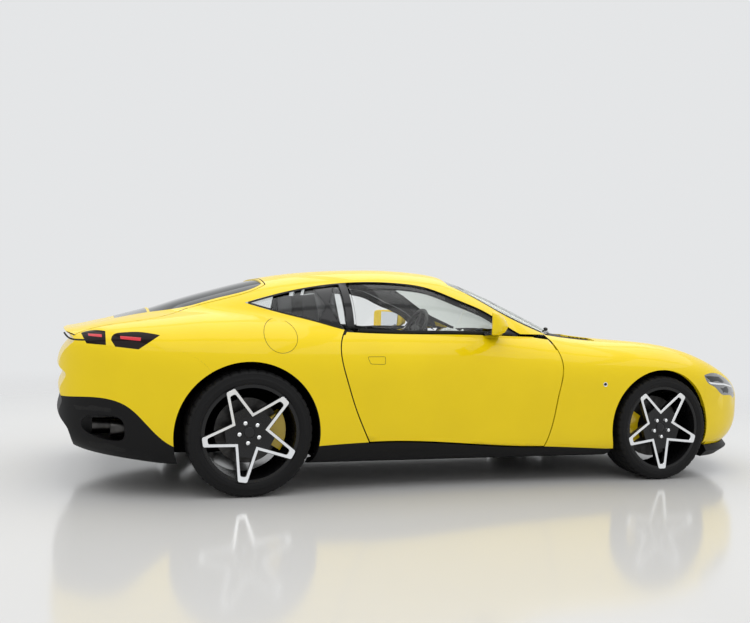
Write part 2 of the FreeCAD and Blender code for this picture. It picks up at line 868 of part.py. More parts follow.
door_face = side_face([DOOR_REAR_SHARES, DOOR_SILL_SHARES, DOOR_FRONT_SHARES, DOOR_BELT_SHARES])
window_low = side_points(DOOR_BELT_SHARES[1:]) + side_points(WINDOW_BELT_SHARES)[::-1][1:]
window_face = outline_face([window_low, side_points(WINDOW_HEAD_SHARES)[::-1]])
headlamp_face = side_face(HEADLAMP_SHARES)
outer_lamp_face = side_face(OUTER_LAMP_SHARES)
inner_lamp_face = side_face(INNER_LAMP_SHARES)
front_seam_face = side_face(closed(FRONT_SEAM_SHARES))
sill_face = below_face(SILL_LINE_SHARES)
exhaust_face = side_face([EXHAUST_OPENING_SHARES + EXHAUST_OPENING_SHARES[:1]])
rear_seam_face = below_face(REAR_SEAM_SHARES)
diffuser_face = below_face(DIFFUSER_LINE_SHARES)
cabin_face = above_face([ROOF_SEAM_SHARES] + CABIN_LINE_SHARES)


def clipped(face, low, high):
    """The part of a side outline between two places."""
    bounds = side_box(low, high, BELOW_SHARE, ABOVE_SHARE)
    return max(face.common(bounds).Faces, key=lambda part: part.Area)


door_glass_face = clipped(window_face, DOOR_GLASS_SHARE, 1)
pillar_face = clipped(window_face, *PILLAR_SHARES)
quarter_glass_face = clipped(window_face, -1.5, PILLAR_SHARES[0])


# Outlines seen from above
def symmetric_face(half_runs):
    """A plan outline from its left half, runs from the front to the back."""
    runs = [plan_points(run) for run in half_runs]
    back = [[Vector(p.x, -p.y, 0) for p in reversed(run)] for run in reversed(runs)]
    if runs[-1][-1].y == 0:
        runs[-1] += back.pop(0)[1:]
    else:
        back.insert(0, [runs[-1][-1], back[0][0]])
    if runs[0][0].y == 0:
        runs[0] = back.pop() + runs[0][1:]
    else:
        back.append([back[-1][-1], runs[0][0]])
    return outline_face(runs + back)


screen_face = symmetric_face([WINDSCREEN_FOOT_SHARES, WINDSCREEN_SIDE_SHARES])
tailgate_face = symmetric_face(TAILGATE_SHARES)
backlight_face = symmetric_face([BACKLIGHT_SHARES])
flap_face = symmetric_face([FLAP_SHARES])
bonnet_face = symmetric_face([BONNET_FRONT_SHARES, BONNET_SIDE_SHARES, BONNET_REAR_SHARES])
cowl_face = symmetric_face([COWL_SHARES])


def tail_waste(wall):
    """What lies behind the tail: its profile, bowed forward to the sides."""
    wires = []
    for step in range(-3, 4):
        y = step * half_width / 3
        shift = mm("tail_bow") * (step / 3) ** 2 + wall
        run = [Vector(along(place) + shift, y, up(height)) for place, height in TAIL_SHARES]
        far = tail_end - mm("overrun")
        top = Vector(run[0].x, y, up(ABOVE_SHARE))
        bottom = Vector(run[-1].x, y, up(BELOW_SHARE))
        corners = [top, Vector(far, y, top.z), Vector(far, y, bottom.z), bottom]
        edges = [run_edge(run), run_edge([run[-1], bottom])]
        edges += [run_edge([corners[i], corners[i - 1]]) for i in (3, 2, 1)]
        edges.append(run_edge([top, run[0]]))
        wires.append(Part.Wire(edges))
    return Part.makeLoft(wires, True, False)


def tail_skin(wall=0):
    return rear_skin(wall).cut(tail_waste(wall))


# Skins of the body, outside and inset by the walls
panel_wall = mm("panel_wall")
glass_depth = mm("glass_inset") + mm("glass_wall")
lower_out = lower_skin()
lower_in = lower_skin(panel_wall)
upper_out = upper_skin()
upper_in = upper_skin(panel_wall)
rear_out = tail_skin()
rear_in = tail_skin(panel_wall)
lower_shell = lower_out.cut(lower_in)
cowl_skin = lower_skin(mm("cowl_inset"))
upper_shell = upper_out.cut(upper_in)
rear_shell = rear_out.cut(rear_in)
upper_glass = upper_skin(mm("glass_inset")).cut(upper_skin(glass_depth))
rear_glass = rear_skin(mm("glass_inset")).cut(rear_skin(glass_depth))
timed("skins")

# Regions that several panels share
far_low = -wide
across_all = (-wide, wide)
arch_front = Part.makeCylinder(
    mm("front_arch_radius"), 2 * wide,
    Vector(front_axle + mm("front_arch_lead"), -wide, mm("front_arch_height")), Vector(0, 1, 0))
arch_rear = Part.makeCylinder(
    mm("rear_arch_radius"), 2 * wide,
    Vector(rear_axle + mm("rear_arch_lead"), -wide, mm("rear_arch_height")), Vector(0, 1, 0))
liner_rooms = [
    Part.makeCylinder(mm(radius) + mm("liner_wall") + seat, 2 * wide, Vector(x, -wide, mm(z)), Vector(0, 1, 0))
    for radius, x, z in (
        ("front_liner_radius", front_axle + mm("front_arch_lead"), "front_arch_height"),
        ("rear_liner_radius", rear_axle + mm("rear_arch_lead"), "rear_arch_height"))]
liner_room = lower_in.common(liner_rooms[0].fuse(liner_rooms[1]))
door_hole = side_prism(grown(door_face, gap / 2), *right)
door_step = side_prism(grown(door_face, mm("pillar_gap")), *right).common(lower_in)
window_hole = side_prism(window_face, *across_all)
cabin_zone = side_prism(cabin_face, *across_all)
sill_zone = side_prism(sill_face, *across_all)
nose_zone = side_prism(front_seam_face, *across_all)
tail_zone = side_prism(rear_seam_face, *across_all)
diffuser_zone = side_prism(diffuser_face, *across_all)
bonnet_hole = plan_prism(grown(bonnet_face, gap / 2), up(CORE_CLEAR_SHARE))
tailgate_hole = plan_prism(grown(tailgate_face, gap / 2), up(CORE_CLEAR_SHARE))
screen_hole = plan_prism(screen_face, up(CORE_CLEAR_SHARE))
backlight_hole = plan_prism(backlight_face, up(CORE_CLEAR_SHARE))
flap_hole = plan_prism(flap_face, up(CORE_CLEAR_SHARE))
cowl_hole = plan_prism(cowl_face, up(CORE_CLEAR_SHARE))
headlamp_holes = pair(side_prism(headlamp_face, -wide, -across(HEADLAMP_INNER_SHARE)))
lamp_range = (-wide, -across(TAIL_LAMP_INNER_SHARE))
lamp_holes = pair(side_prism(outer_lamp_face, *lamp_range).fuse(side_prism(inner_lamp_face, *lamp_range)))


def end_prism(shares, low, high):
    """An outline of widths and heights stretched over a range of X."""
    half = [Vector(low, across(width), up(height)) for width, height in shares]
    corners = half + [Vector(p.x, -p.y, p.z) for p in reversed(half)]
    face = Part.Face(Part.makePolygon(corners + corners[:1]))
    return face.extrude(Vector(high - low, 0, 0))


grille_hole = end_prism(GRILLE_SHARES, front_axle, nose_end)


# Body panels
def side_halves(shape):
    """The right part of a shape and its mirror image on the left."""
    return shape, mirrored(shape)


def make_door():
    """Right door: a solid leaf as thick as the whole door."""
    leaf = side_prism(grown(door_face, -gap / 2), -wide, -across(DOOR_STEP_SHARE))
    inner = side_prism(
        grown(door_face, -gap / 2 - mm("door_step")), -across(DOOR_STEP_SHARE), -across(DOOR_INNER_SHARE))
    leaf = leaf.fuse(inner)
    return largest(leaf.common(lower_out).fuse(leaf.common(upper_out)))


def make_wing():
    """Right front wing from the door to the nose, over the wheel."""
    zone = side_prism(side_box(0.3, 1.99, 0.16, 0.8), -wide, -across(0.3))
    tools = [nose_zone, bonnet_hole, door_hole, door_step, sill_zone, arch_front, cowl_hole, upper_in, headlamp_holes]
    return largest(lower_shell.common(zone).cut(tools))


def make_quarter():
    """Right rear quarter from the door to the tail, over the wheel."""
    zone = side_prism(side_box(-2.1, -0.4, 0.16, 1.1), *right)
    tools = [cabin_zone, tail_zone, tailgate_hole, door_hole, door_step, sill_zone, arch_rear, window_hole, lamp_holes]
    return largest(rear_shell.common(zone).cut(tools))


def make_roof():
    """Roof with both windscreen pillars."""
    tools = [window_hole, screen_hole, lower_out, tailgate_hole, door_hole, mirrored(door_hole)]
    return largest(upper_shell.common(cabin_zone).cut(tools))


def make_bonnet():
    zone = plan_prism(grown(bonnet_face, -gap / 2 - mm("bonnet_ease")), up(CORE_CLEAR_SHARE))
    core_zone = plan_prism(grown(bonnet_face, -gap / 2 - mm("bonnet_step")), up(CORE_CLEAR_SHARE))
    edge = zone.cut(core_zone).common(cowl_skin)
    return largest(lower_shell.common(zone).cut(edge))


def make_front_bumper():
    zone = side_prism(grown(front_seam_face, -seat), *across_all)
    low = side_prism(side_box(1, 2.1, 0, 0.162), *across_all)
    half = mm("steer_half_width")
    steer_room = Part.makeCylinder(
        mm("steer_radius"), 2 * half,
        Vector(front_axle + mm("front_arch_lead"), -half, mm("front_arch_height")), Vector(0, 1, 0))
    tools = [bonnet_hole, headlamp_holes, grille_hole, arch_front, low, steer_room]
    return largest(lower_shell.common(zone).cut(tools))


def make_rear_bumper():
    zone = side_prism(grown(rear_seam_face, -seat), *across_all)
    return largest(rear_shell.common(zone).cut([diffuser_zone, arch_rear, lamp_holes]))


def make_exhausts():
    """Two tail pipes on each side, in the opening of the diffuser."""
    pipes = []
    for lead, outset in EXHAUST_SHARES:
        foot = Vector(along(lead), -across(outset), mm("exhaust_place"))
        pipe = Part.makeCylinder(mm("exhaust_radius"), mm("exhaust_length"), foot, Vector(1, 0, 0))
        bore = Part.makeCylinder(
            mm("exhaust_radius") - mm("exhaust_wall"), mm("exhaust_length"), foot, Vector(1, 0, 0))
        pipes.append(pipe.cut(bore))
    return Part.makeCompound(pipes + [mirrored(pipe) for pipe in pipes])


def make_diffuser():
    zone = side_prism(grown(diffuser_face, -seat), *across_all)
    opening = pair(side_prism(exhaust_face, -wide, -across(EXHAUST_INNER_SHARE)))
    return largest(rear_shell.common(zone).cut([arch_rear, sill_zone, opening]))


def make_tailgate():
    zone = plan_prism(grown(tailgate_face, -gap / 2), up(CORE_CLEAR_SHARE))
    low = side_prism(grown(rear_seam_face, gap), *across_all)
    return largest(rear_shell.common(zone).cut([low, backlight_hole, flap_hole, lamp_holes]))


def make_sill():
    zone = side_prism(grown(sill_face, -seat), -wide, -across(SILL_INNER_SHARE))
    door_room = side_prism(grown(door_face, mm("sill_gap")), *right)
    return largest(lower_out.common(zone).cut([arch_front, arch_rear, liner_room, door_room]))




# Trim that fills the openings
def make_windscreen():
    return largest(upper_glass.common(screen_hole).common(cabin_zone).cut([lower_out]))


def make_rear_window():
    zone = plan_prism(grown(backlight_face, -seat), up(CORE_CLEAR_SHARE))
    return largest(rear_glass.common(zone))


def make_spoiler_flap():
    """Plate that carries the window down to the tail lip."""
    zone = plan_prism(grown(flap_face, -seat), up(CORE_CLEAR_SHARE))
    return largest(rear_shell.common(zone))


def make_side_window(face, play=seat):
    zone = side_prism(grown(face, -play), *right)
    return largest(upper_glass.common(zone).cut([lower_out, door_hole]))


def make_door_glass():
    return make_side_window(door_glass_face, mm("glass_gap"))


def make_quarter_glass():
    return make_side_window(quarter_glass_face)


def make_pillar():
    """Gloss cover between the door glass and the quarter glass."""
    zone = side_prism(grown(pillar_face, -seat), *right)
    return largest(upper_shell.common(zone).cut([lower_out, door_hole]))


def make_headlamp():
    zone = side_prism(grown(headlamp_face, -seat), -wide, -across(HEADLAMP_INNER_SHARE))
    return largest(lower_shell.common(zone))


def make_tail_lamps():
    """Outer and inner lamp of the right side."""
    lamps = [side_prism(grown(face, -seat), *lamp_range) for face in (outer_lamp_face, inner_lamp_face)]
    return Part.makeCompound([largest(rear_shell.common(lamp).cut([tailgate_hole])) for lamp in lamps])


def make_cowl():
    zone = plan_prism(grown(cowl_face, -seat), up(CORE_CLEAR_SHARE))
    tray = cowl_skin.cut(lower_in)
    return largest(tray.common(zone).cut([bonnet_hole, upper_in]))


def make_grille():
    plate = lower_trim.cut(lower_skin(panel_wall + mm("grille_wall")))
    return largest(plate.common(end_prism(GRILLE_PLATE_SHARES, front_axle, nose_end)))


def belly_half(x, z):
    """Half width of the lower body at a height under its middle."""
    core = core_height(x)
    fall = (core - z) / (core - belly_height(x))
    if fall >= 1:
        return 0
    power = lower_power(x)
    return body_half_width(x) * (1 - fall ** power) ** (1 / power)


def make_splitter():
    """Blade under the bumper, thickest at its edge's middle height."""
    z = up(SPLITTER_SEAM_SHARE)
    back = front_axle + mm("front_arch_lead") + mm("front_arch_radius")
    front = nose_end
    while belly_half(front, z) <= 0:
        front -= half_base / 1000
    wires = []
    for height, reach in SPLITTER_LAYERS:
        points = []
        for step in range(SPLITTER_STEPS + 1):
            x = back + (front - back) * math.sin(math.pi / 2 * step / SPLITTER_STEPS)
            y = belly_half(x, z)
            lead = (x - back) / (front - back)
            points.append(Vector(x + up(reach) * lead, -(y + up(reach) * (1 - lead ** 4)), up(height)))
        points[-1].y = 0
        edge = points + [Vector(p.x, -p.y, p.z) for p in reversed(points[:-1])]
        curve = run_edge(edge)
        wires.append(Part.Wire([curve, run_edge([edge[-1], edge[0]])]))
    return Part.makeLoft(wires, True, True)


def make_liner(x, radius, z, inner, skin_in):
    """Shell over a wheel with a rim on its inner side, on the right."""
    wall = mm("liner_wall")
    start = Vector(x, -inner, z)
    away = Vector(0, -1, 0)
    ring = Part.makeCylinder(radius + wall, wide, start, away)
    rim = Part.makeCylinder(radius, wall, start, away).cut(
        Part.makeCylinder(radius - mm("liner_rim"), wall, start, away))
    shell = ring.cut(Part.makeCylinder(radius, wide, start, away)).fuse(rim)
    low = Part.makeBox(4 * radius, wide, 2 * radius, Vector(x - 2 * radius, -wide, up(LINER_LOW_SHARE) - 2 * radius))
    return largest(shell.common(skin_in).cut([low, door_step]))


def make_latch_posts():
    """Posts that the bonnet and the tailgate rest on."""
    radius = mm("latch_radius")
    posts = []
    for share, base, skin_in in LATCHES:
        for side in (-1, 1):
            foot = Vector(along(share), side * mm("rail_outset"), mm(base) + seat)
            post = Part.makeCylinder(radius, wide, foot)
            posts.append(largest(post.common({"front": lower_trim, "rear": rear_trim}[skin_in])))
    return Part.makeCompound(posts)


lower_trim = lower_skin(panel_wall + seat)
rear_trim = tail_skin(panel_wall + seat)

makers = [
    ("front_bumper", make_front_bumper), ("bonnet", make_bonnet), ("roof", make_roof),
    ("rear_bumper", make_rear_bumper), ("diffuser", make_diffuser), ("boot_lid", make_tailgate),
    ("windscreen", make_windscreen), ("rear_window", make_rear_window), ("spoiler_flap", make_spoiler_flap),
    ("cowl", make_cowl), ("grille", make_grille), ("front_splitter", make_splitter),
    ("latch_posts", make_latch_posts), ("exhausts", make_exhausts),
]
for label, maker in makers:
    add_shape(label, maker())
    timed(label)
for label, maker in (("front_wing", make_wing), ("quarter", make_quarter), ("door", make_door), ("door_glass", make_door_glass)):
    shape = maker()
    add_shape(label + "_right", shape)
    add_shape(label + "_left", mirrored(shape))
    timed(label)
paired = [
    ("sills", make_sill), ("headlamps", make_headlamp), ("tail_lamps", make_tail_lamps),
    ("quarter_glass", make_quarter_glass), ("pillar_covers", make_pillar),
]
for label, maker in paired:
    add_shape(label, pair(maker()))
    timed(label)
front_liner = make_liner(
    front_axle + mm("front_arch_lead"), mm("front_liner_radius"), mm("front_arch_height"),
    mm("front_liner_inner"), lower_trim)
rear_liner = make_liner(
    rear_axle + mm("rear_arch_lead"), mm("rear_liner_radius"), mm("rear_arch_height"),
    mm("rear_liner_inner"), rear_skin(mm("quarter_wall") + seat))
add_shape("wheel_liners", Part.makeCompound([pair(front_liner), pair(rear_liner)]))
timed("liners")


def make_mirror():
    """Housing on a foot that stands on the shoulder of the right door."""
    wires = []
    for outset, grow in MIRROR_LAYERS:
        points = []
        for place, height in MIRROR_SHARES:
            x = mm("mirror_lead") + mm("mirror_length") * place * grow
            points.append(Vector(x, -mm("mirror_outset") * outset, mm("mirror_place") + mm("mirror_height") * height * grow))
        wires.append(Part.Wire([run_edge(points + points[:1])]))
    shell = Part.makeLoft(wires, True, False)
    half = mm("mirror_stem") / 2
    foot = Part.makeBox(
        2 * half, mm("mirror_outset") / 5, 2 * half,
        Vector(mm("mirror_lead") - half / 2, -mm("mirror_outset") * MIRROR_LAYERS[1][0], up(MIRROR_FOOT_SHARE)))
    outside = lower_skin(-seat).fuse(upper_skin(-seat))
    return largest(shell.fuse(foot).cut(outside))


mirror = make_mirror()
add_shape("mirror_right", mirror)
add_shape("mirror_left", mirrored(mirror))
timed("mirrors")

# Wheels. Places along the axle count outwards from the middle of the tyre.
front_axle_at = (size("wheelbase") + size("rear_overhang") * TAIL_REACH_SHARE - size("front_overhang")) / 2
rear_axle_at = front_axle_at - size("wheelbase")
CORNERS = [
    ("front_right", "front", -1), ("front_left", "front", 1),
    ("rear_right", "rear", -1), ("rear_left", "rear", 1),
]


def hub_spot(axle, side):
    """Wheel centre of a corner of the car."""
    station = front_axle_at if axle == "front" else rear_axle_at
    return station, size("track_" + axle) / 2 * side, size(axle + "_tyre_radius")


def wheel_body(label, corner):
    body = doc.addObject("PartDesign::Body", label)
    place(body, hub_spot(corner[1], corner[2]))
    return add_node(body, label)


def flank(profile, side):
    """A profile of radii and places outwards, on its side of the car."""
    return [(radius, outwards * side) for radius, outwards in profile]


def rim_half(axle):
    return size(axle + "_tyre_width") / 2 - size("tyre_over_rim")


def make_tyre(corner):
    name, axle, side = corner
    body = wheel_body("tyre_" + name, corner)
    half = size(axle + "_tyre_width") / 2
    bead = rim_half(axle) - size("rim_flange_wall") - size("seat_gap")
    outer = size(axle + "_tyre_radius")
    bed = size("rim_bed_radius") + size("seat_gap")
    lip = size("rim_flange_radius") + size("seat_gap")
    rise = size("tyre_sidewall_rise")
    shoulder = outer - size("tyre_shoulder_drop")
    right_half = [
        (bed, bead), (lip, bead), (lip, half - size("tyre_bulge")), (lip + rise, half),
        (shoulder - size("tyre_shoulder_drop"), half - size("tyre_bulge")),
        (shoulder, half - size("tyre_shoulder") / 2), (outer, half - size("tyre_shoulder"))]
    left_half = [(radius, -outwards) for radius, outwards in reversed(right_half)]
    turned(body, "ring_" + name, flank(right_half + left_half, side))


def drill_lugs(body, name, axle, side, radius):
    """Five holes through the hub, one in line with each arm of the star."""
    holes = body.newObject("Sketcher::SketchObject", body.Label + "_lugs_profile")
    plane = [item for item in body.Origin.OriginFeatures if item.Role == "XZ_Plane"][0]
    holes.AttachmentSupport = [(plane, "")]
    holes.MapMode = "FlatFace"
    circle = size("lug_circle_radius")
    for arm in range(5):
        angle = math.radians(mm(axle + "_star_phase") + 72 * arm)
        spot = (circle * (-side * math.cos(angle)), circle * math.sin(angle))
        middle = Vector(spot[0].value, spot[1].value, 0)
        made = holes.addGeometry(Part.Circle(middle, Vector(0, 0, 1), mm(radius)))
        for kind, number in zip(("DistanceX", "DistanceY"), spot):
            bound = holes.addConstraint(Sketcher.Constraint(kind, -1, 1, made, 3, number.value))
            holes.setExpression("Constraints[%d]" % bound, number.text)
        bound = holes.addConstraint(Sketcher.Constraint("Radius", made, mm(radius)))
        holes.setExpression("Constraints[%d]" % bound, size(radius).text)
    drill = body.newObject("PartDesign::Pocket", body.Label + "_lugs")
    drill.Profile = holes
    drill.Type = "ThroughAll"
    drill.Midplane = True


def open_arms(body, name, axle, side):
    """A window through each arm of the star."""
    near = size("window_near_radius")
    far = size("window_far_radius")
    phase = mm(axle + "_star_phase")
    for arm in range(5):
        angle = math.radians(phase + 72 * arm)
        cosine = math.cos(angle)
        sine = math.sin(angle)
        spots = [
            (near, size("window_near_width") / 2), (near, size("window_near_width") / -2),
            (far, size("window_far_width") / -2), (far, size("window_far_width") / 2)]
        corners = [(reach * cosine - half * sine, reach * sine + half * cosine) for reach, half in spots]
        if side > 0:
            corners = [(-x, z) for x, z in reversed(corners)]
        outline = sketch(body, body.Label + "_window_%d" % arm, "XZ_Plane", corners)
        window = body.newObject("PartDesign::Pocket", body.Label + "_opening_%d" % arm)
        window.Profile = outline
        window.Type = "ThroughAll"
        window.Midplane = True


def make_rim(corner):
    name, axle, side = corner
    body = wheel_body("rim_" + name, corner)
    half = rim_half(axle)
    bed = size("rim_bed_radius")
    lip = size("rim_flange_radius")
    flange = half - size("rim_flange_wall")
    inner = bed - size("rim_bed_wall")
    barrel = [
        (inner, -half), (lip, -half), (lip, -flange), (bed, -flange), (bed, flange),
        (lip, flange), (lip, half), (inner, half)]
    turned(body, "barrel_" + name, flank(barrel, side))
    hub_out = size(axle + "_hub_outset")
    face_out = size(axle + "_face_outset")
    pad = size("hub_pad_radius")
    tip = size("star_tip_radius")
    wall = size("star_wall")
    hub_in = hub_out - size("hub_pad_depth")
    phase = mm(axle + "_star_phase")
    points = []
    for arm in range(5):
        centre = math.radians(phase + 72 * arm)
        root = centre + math.radians(36)
        for turn in (-1, 1):
            x = tip * math.cos(centre) - size("star_tip_width") / 2 * (turn * math.sin(centre))
            z = tip * math.sin(centre) + size("star_tip_width") / 2 * (turn * math.cos(centre))
            points.append((x, z))
        points.append((size("star_root_radius") * math.cos(root), size("star_root_radius") * math.sin(root)))
    if side > 0:
        points = [(-x, z) for x, z in reversed(points)]
    padded(body, "star_" + name, "XZ_Plane", points, face_out, back=side > 0)
    front = [
        (NOTHING, hub_out), (pad, hub_out), (tip, face_out), (lip, face_out),
        (lip, face_out + size("overrun")), (NOTHING, face_out + size("overrun"))]
    turned(body, "dish_" + name, flank(front, side), "PartDesign::Groove")
    back = [
        (pad, -size("overrun")), (inner, -size("overrun")), (inner, face_out - wall - size("rim_bed_wall")),
        (pad, hub_out - wall)]
    turned(body, "hollow_" + name, flank(back, side), "PartDesign::Groove")
    seat_room = [(bed, NOTHING), (lip + size("overrun"), NOTHING), (lip + size("overrun"), flange), (bed, flange)]
    turned(body, "bead_room_" + name, flank(seat_room, side), "PartDesign::Groove")
    bore = [
        (NOTHING, -size("overrun")), (pad, -size("overrun")), (pad, hub_in), (size("hub_bore_radius"), hub_in),
        (size("hub_bore_radius"), hub_out - size("cap_wall")), (NOTHING, hub_out - size("cap_wall"))]
    turned(body, "bore_" + name, flank(bore, side), "PartDesign::Groove")
    drill_lugs(body, name, axle, side, "lug_hole_radius")
    open_arms(body, name, axle, side)


def make_disc(corner):
    name, axle, side = corner
    body = wheel_body("brake_disc_" + name, corner)
    face = size(axle + "_hub_outset") - size("hub_pad_depth") - size("seat_gap")
    out = face - size("disc_hat_depth")
    inner = out - size("disc_wall")
    hat = size("disc_hat_radius")
    wall = size("disc_hat_wall")
    bore = size("stub_radius") + size("bearing_gap")
    radius = size(axle + "_disc_radius")
    profile = [
        (bore, face), (hat, face), (hat, out), (radius, out), (radius, inner),
        (hat - wall, inner), (hat - wall, face - wall), (size("hub_radius"), face - wall),
        (size("hub_radius"), out - size("hub_tail")), (bore, out - size("hub_tail"))]
    turned(body, "plate_" + name, flank(profile, side))
    drill_lugs(body, name, axle, side, "lug_thread_radius")


def make_caliper(label, corner, towards):
    """A caliper that straddles the disc, ahead of the hub or behind it."""
    name, axle, side = corner
    body = doc.addObject("PartDesign::Body", label)
    place(body, hub_spot(axle, side), None)
    out = size(axle + "_hub_outset") - size("hub_pad_depth") - size("seat_gap") - size("disc_hat_depth")
    inner = out - size("disc_wall")
    radius = size(axle + "_disc_radius")
    arm = size("caliper_arm")
    free = size("caliper_gap")
    low = radius - size("caliper_depth")
    top = radius + size("caliper_rise")
    profile = [
        (low, out + free), (low, out + free + arm), (top, out + free + arm), (top, inner - free - arm),
        (low, inner - free - arm), (low, inner - free), (radius + free, inner - free), (radius + free, out + free)]
    half = mm("caliper_span_angle") / 2
    ring = turned(body, "claw_" + name, flank(profile, side), angle=mm("caliper_span_angle"))
    ring.Midplane = True
    if towards < 0:
        body.Placement.Rotation = Rotation(Vector(0, 1, 0), 180)
    return body


for corner in CORNERS:
    make_tyre(corner)
    make_rim(corner)
    make_disc(corner)
doc.recompute()
timed("wheels")
for corner in CORNERS[:2]:
    add_node(make_caliper("caliper_" + corner[0], corner, -1), "caliper_" + corner[0])
rear_calipers = [make_caliper("rear_claw_" + corner[0], corner, 1) for corner in CORNERS[2:]]
add_node(bodies("rear_calipers", rear_calipers), "rear_calipers")
doc.recompute()
timed("calipers")



# Uprights, arms and shafts
def hub_places(corner):
    """Places on the axle of a corner, counted out from the centre plane."""
    name, axle, side = corner
    hub = hub_spot(axle, side)
    out = size("track_" + axle) / 2
    disc = size(axle + "_hub_outset") - size("hub_pad_depth") - size("seat_gap") - size("disc_hat_depth")
    claw = disc - size("disc_wall") - size("caliper_gap") - size("caliper_arm")
    return hub[0], out, hub[2], out + disc, out + claw, out - size("kingpin_inset")


def make_upright(corner, label):
    """Stub axle, post with two ball pins and caliper bracket of a corner."""
    x, out, z, disc, claw, kingpin = hub_places(corner)
    side = corner[2]
    towards = -1 if corner[1] == "front" else 1
    reach = size("bracket_reach")
    tall = size("bracket_height") / 2
    post = size("kingpin_reach")
    plate = (x - reach, x) if towards < 0 else (x, x + reach)
    foot = z - post - size("arm_wall")
    return fused(label, [
        cross_bar(label + "_stub", size("stub_radius"), x, (kingpin, disc + size("stub_nose")), z, side),
        block(label + "_bracket", plate, (claw - size("bracket_wall"), claw), (z - tall, z + tall), side),
        cylinder(label + "_post", size("kingpin_radius"), post * 2, (x, kingpin * side, z - post)),
        cylinder(label + "_pins", size("ball_pin_radius"), (post + size("arm_wall")) * 2, (x, kingpin * side, foot)),
    ])


def make_arm(label, corner, low):
    """A wishbone from the ball pin of a corner in to the rail."""
    x, out, z, disc, claw, kingpin = hub_places(corner)
    side = corner[2]
    body = doc.addObject("PartDesign::Body", label)
    place(body, (x, kingpin * side, low))
    reach = kingpin - size("rail_outset") - size("rail_width") / 2 - size("seat_gap")
    nose = size("arm_nose") / 2
    base = size("arm_base") / 2
    corners = [(-base, -reach * side), (base, -reach * side), (nose, nose * side), (-nose, nose * side)]
    padded(body, label + "_plate", "XY_Plane", corners, size("arm_wall"))
    pin = size("ball_pin_radius") + size("bearing_gap")
    eye = cylinder(label + "_eye", pin, size("arm_wall"), (x, kingpin * side, low))
    return cut(label + "_drilled", body, eye)


def make_arms(corner):
    z = hub_spot(corner[1], corner[2])[2]
    gap_below = size("kingpin_reach") + size("arm_wall") + size("seat_gap")
    label = "arm_" + corner[0]
    return [
        make_arm(label + "_low", corner, z - gap_below),
        make_arm(label + "_high", corner, z + size("kingpin_reach") + size("seat_gap")),
    ]


for corner in CORNERS[:2]:
    add_node(make_upright(corner, "knuckle_" + corner[0]), "knuckle_" + corner[0])
add_node(bodies("front_suspension", make_arms(CORNERS[0]) + make_arms(CORNERS[1])), "front_suspension")
rear_links = []
for corner in CORNERS[2:]:
    rear_links.append(make_upright(corner, "upright_" + corner[0]))
    rear_links += make_arms(corner)
add_node(bodies("rear_suspension", rear_links), "rear_suspension")
doc.recompute()
timed("suspension")


# Platform
floor_z = (size("floor_low"), size("floor_low") + size("floor_wall"))
sill_inner = size("body_width") / 2 * SILL_INNER_SHARE - size("seat_gap")
door_inner = size("body_width") / 2 * DOOR_INNER_SHARE - size("seat_gap")
firewall_x = front_axle_at - size("firewall_setback")
bulkhead_x = rear_axle_at + size("bulkhead_setback")
front_liner_at = front_axle_at + size("front_arch_lead")
rear_liner_at = rear_axle_at + size("rear_arch_lead")
front_liner_out = size("front_liner_radius") + size("liner_wall")
rear_liner_out = size("rear_liner_radius") + size("liner_wall")
splitter_back = front_liner_at + size("front_arch_radius")


def make_platform():
    """Floor, tunnel, walls, rails and door posts, welded into one."""
    waist = size("waist_half_width")
    tunnel = size("tunnel_half_width")
    tunnel_wall = size("tunnel_wall")
    floor_top = floor_z[1]
    floor_back = rear_liner_at + rear_liner_out + size("seat_gap")
    floor_front = front_liner_at - front_liner_out - size("seat_gap")
    wall = size("firewall_wall")
    rail_ys = (size("rail_outset") - size("rail_width") / 2, size("rail_outset") + size("rail_width") / 2)
    rail_zs = (size("rail_low"), size("rail_low") + size("rail_height"))
    rail_front = splitter_back + size("rail_overhang")
    rail_back = rear_liner_at - rear_liner_out - size("rail_overhang") / 4
    boot_low = size("boot_floor_low")
    parts = [
        block("floor_pan", (floor_back, floor_front), (-sill_inner, sill_inner), floor_z),
        block("floor_waist", (rear_axle_at, splitter_back - size("seat_gap")), (-waist, waist), floor_z),
        block("tunnel_roof", (bulkhead_x, firewall_x), (-tunnel, tunnel), (size("tunnel_top") - tunnel_wall, size("tunnel_top"))),
        block("firewall", (firewall_x, firewall_x + wall), (-size("firewall_half_width"), size("firewall_half_width")), (floor_z[0], size("firewall_top"))),
        block("bulkhead", (bulkhead_x - wall, bulkhead_x), (-size("bulkhead_half_width"), size("bulkhead_half_width")), (floor_z[0], size("bulkhead_top"))),
        block("boot_floor", (rail_back, bulkhead_x), (-size("bulkhead_half_width"), size("bulkhead_half_width")), (boot_low, boot_low + size("floor_wall"))),
        block("crash_beam", (rail_front, rail_front + size("beam_wall")), (-size("beam_half_width"), size("beam_half_width")), rail_zs),
        block("rear_beam", (rail_back, rail_back + size("beam_wall")), (-size("beam_half_width"), size("beam_half_width")), rail_zs),
    ]
    for side, word in ((-1, "right"), (1, "left")):
        parts += [
            block("tunnel_wall_" + word, (bulkhead_x, firewall_x), (tunnel - tunnel_wall, tunnel), (floor_z[0], size("tunnel_top")), side),
            block("front_rail_" + word, (firewall_x, rail_front), rail_ys, rail_zs, side),
            block("rear_rail_" + word, (rail_back, bulkhead_x), rail_ys, (rail_zs[0], boot_low + size("floor_wall")), side),
            block("front_post_" + word, (firewall_x - size("post_setback"), firewall_x), (door_inner - size("post_width"), door_inner), (floor_z[0], size("post_top")), side),
            block("rear_post_" + word, (floor_back, floor_back + size("post_length")), (door_inner - size("post_width"), door_inner), (floor_z[0], size("bulkhead_top")), side),
        ]
    return fused("platform", parts)


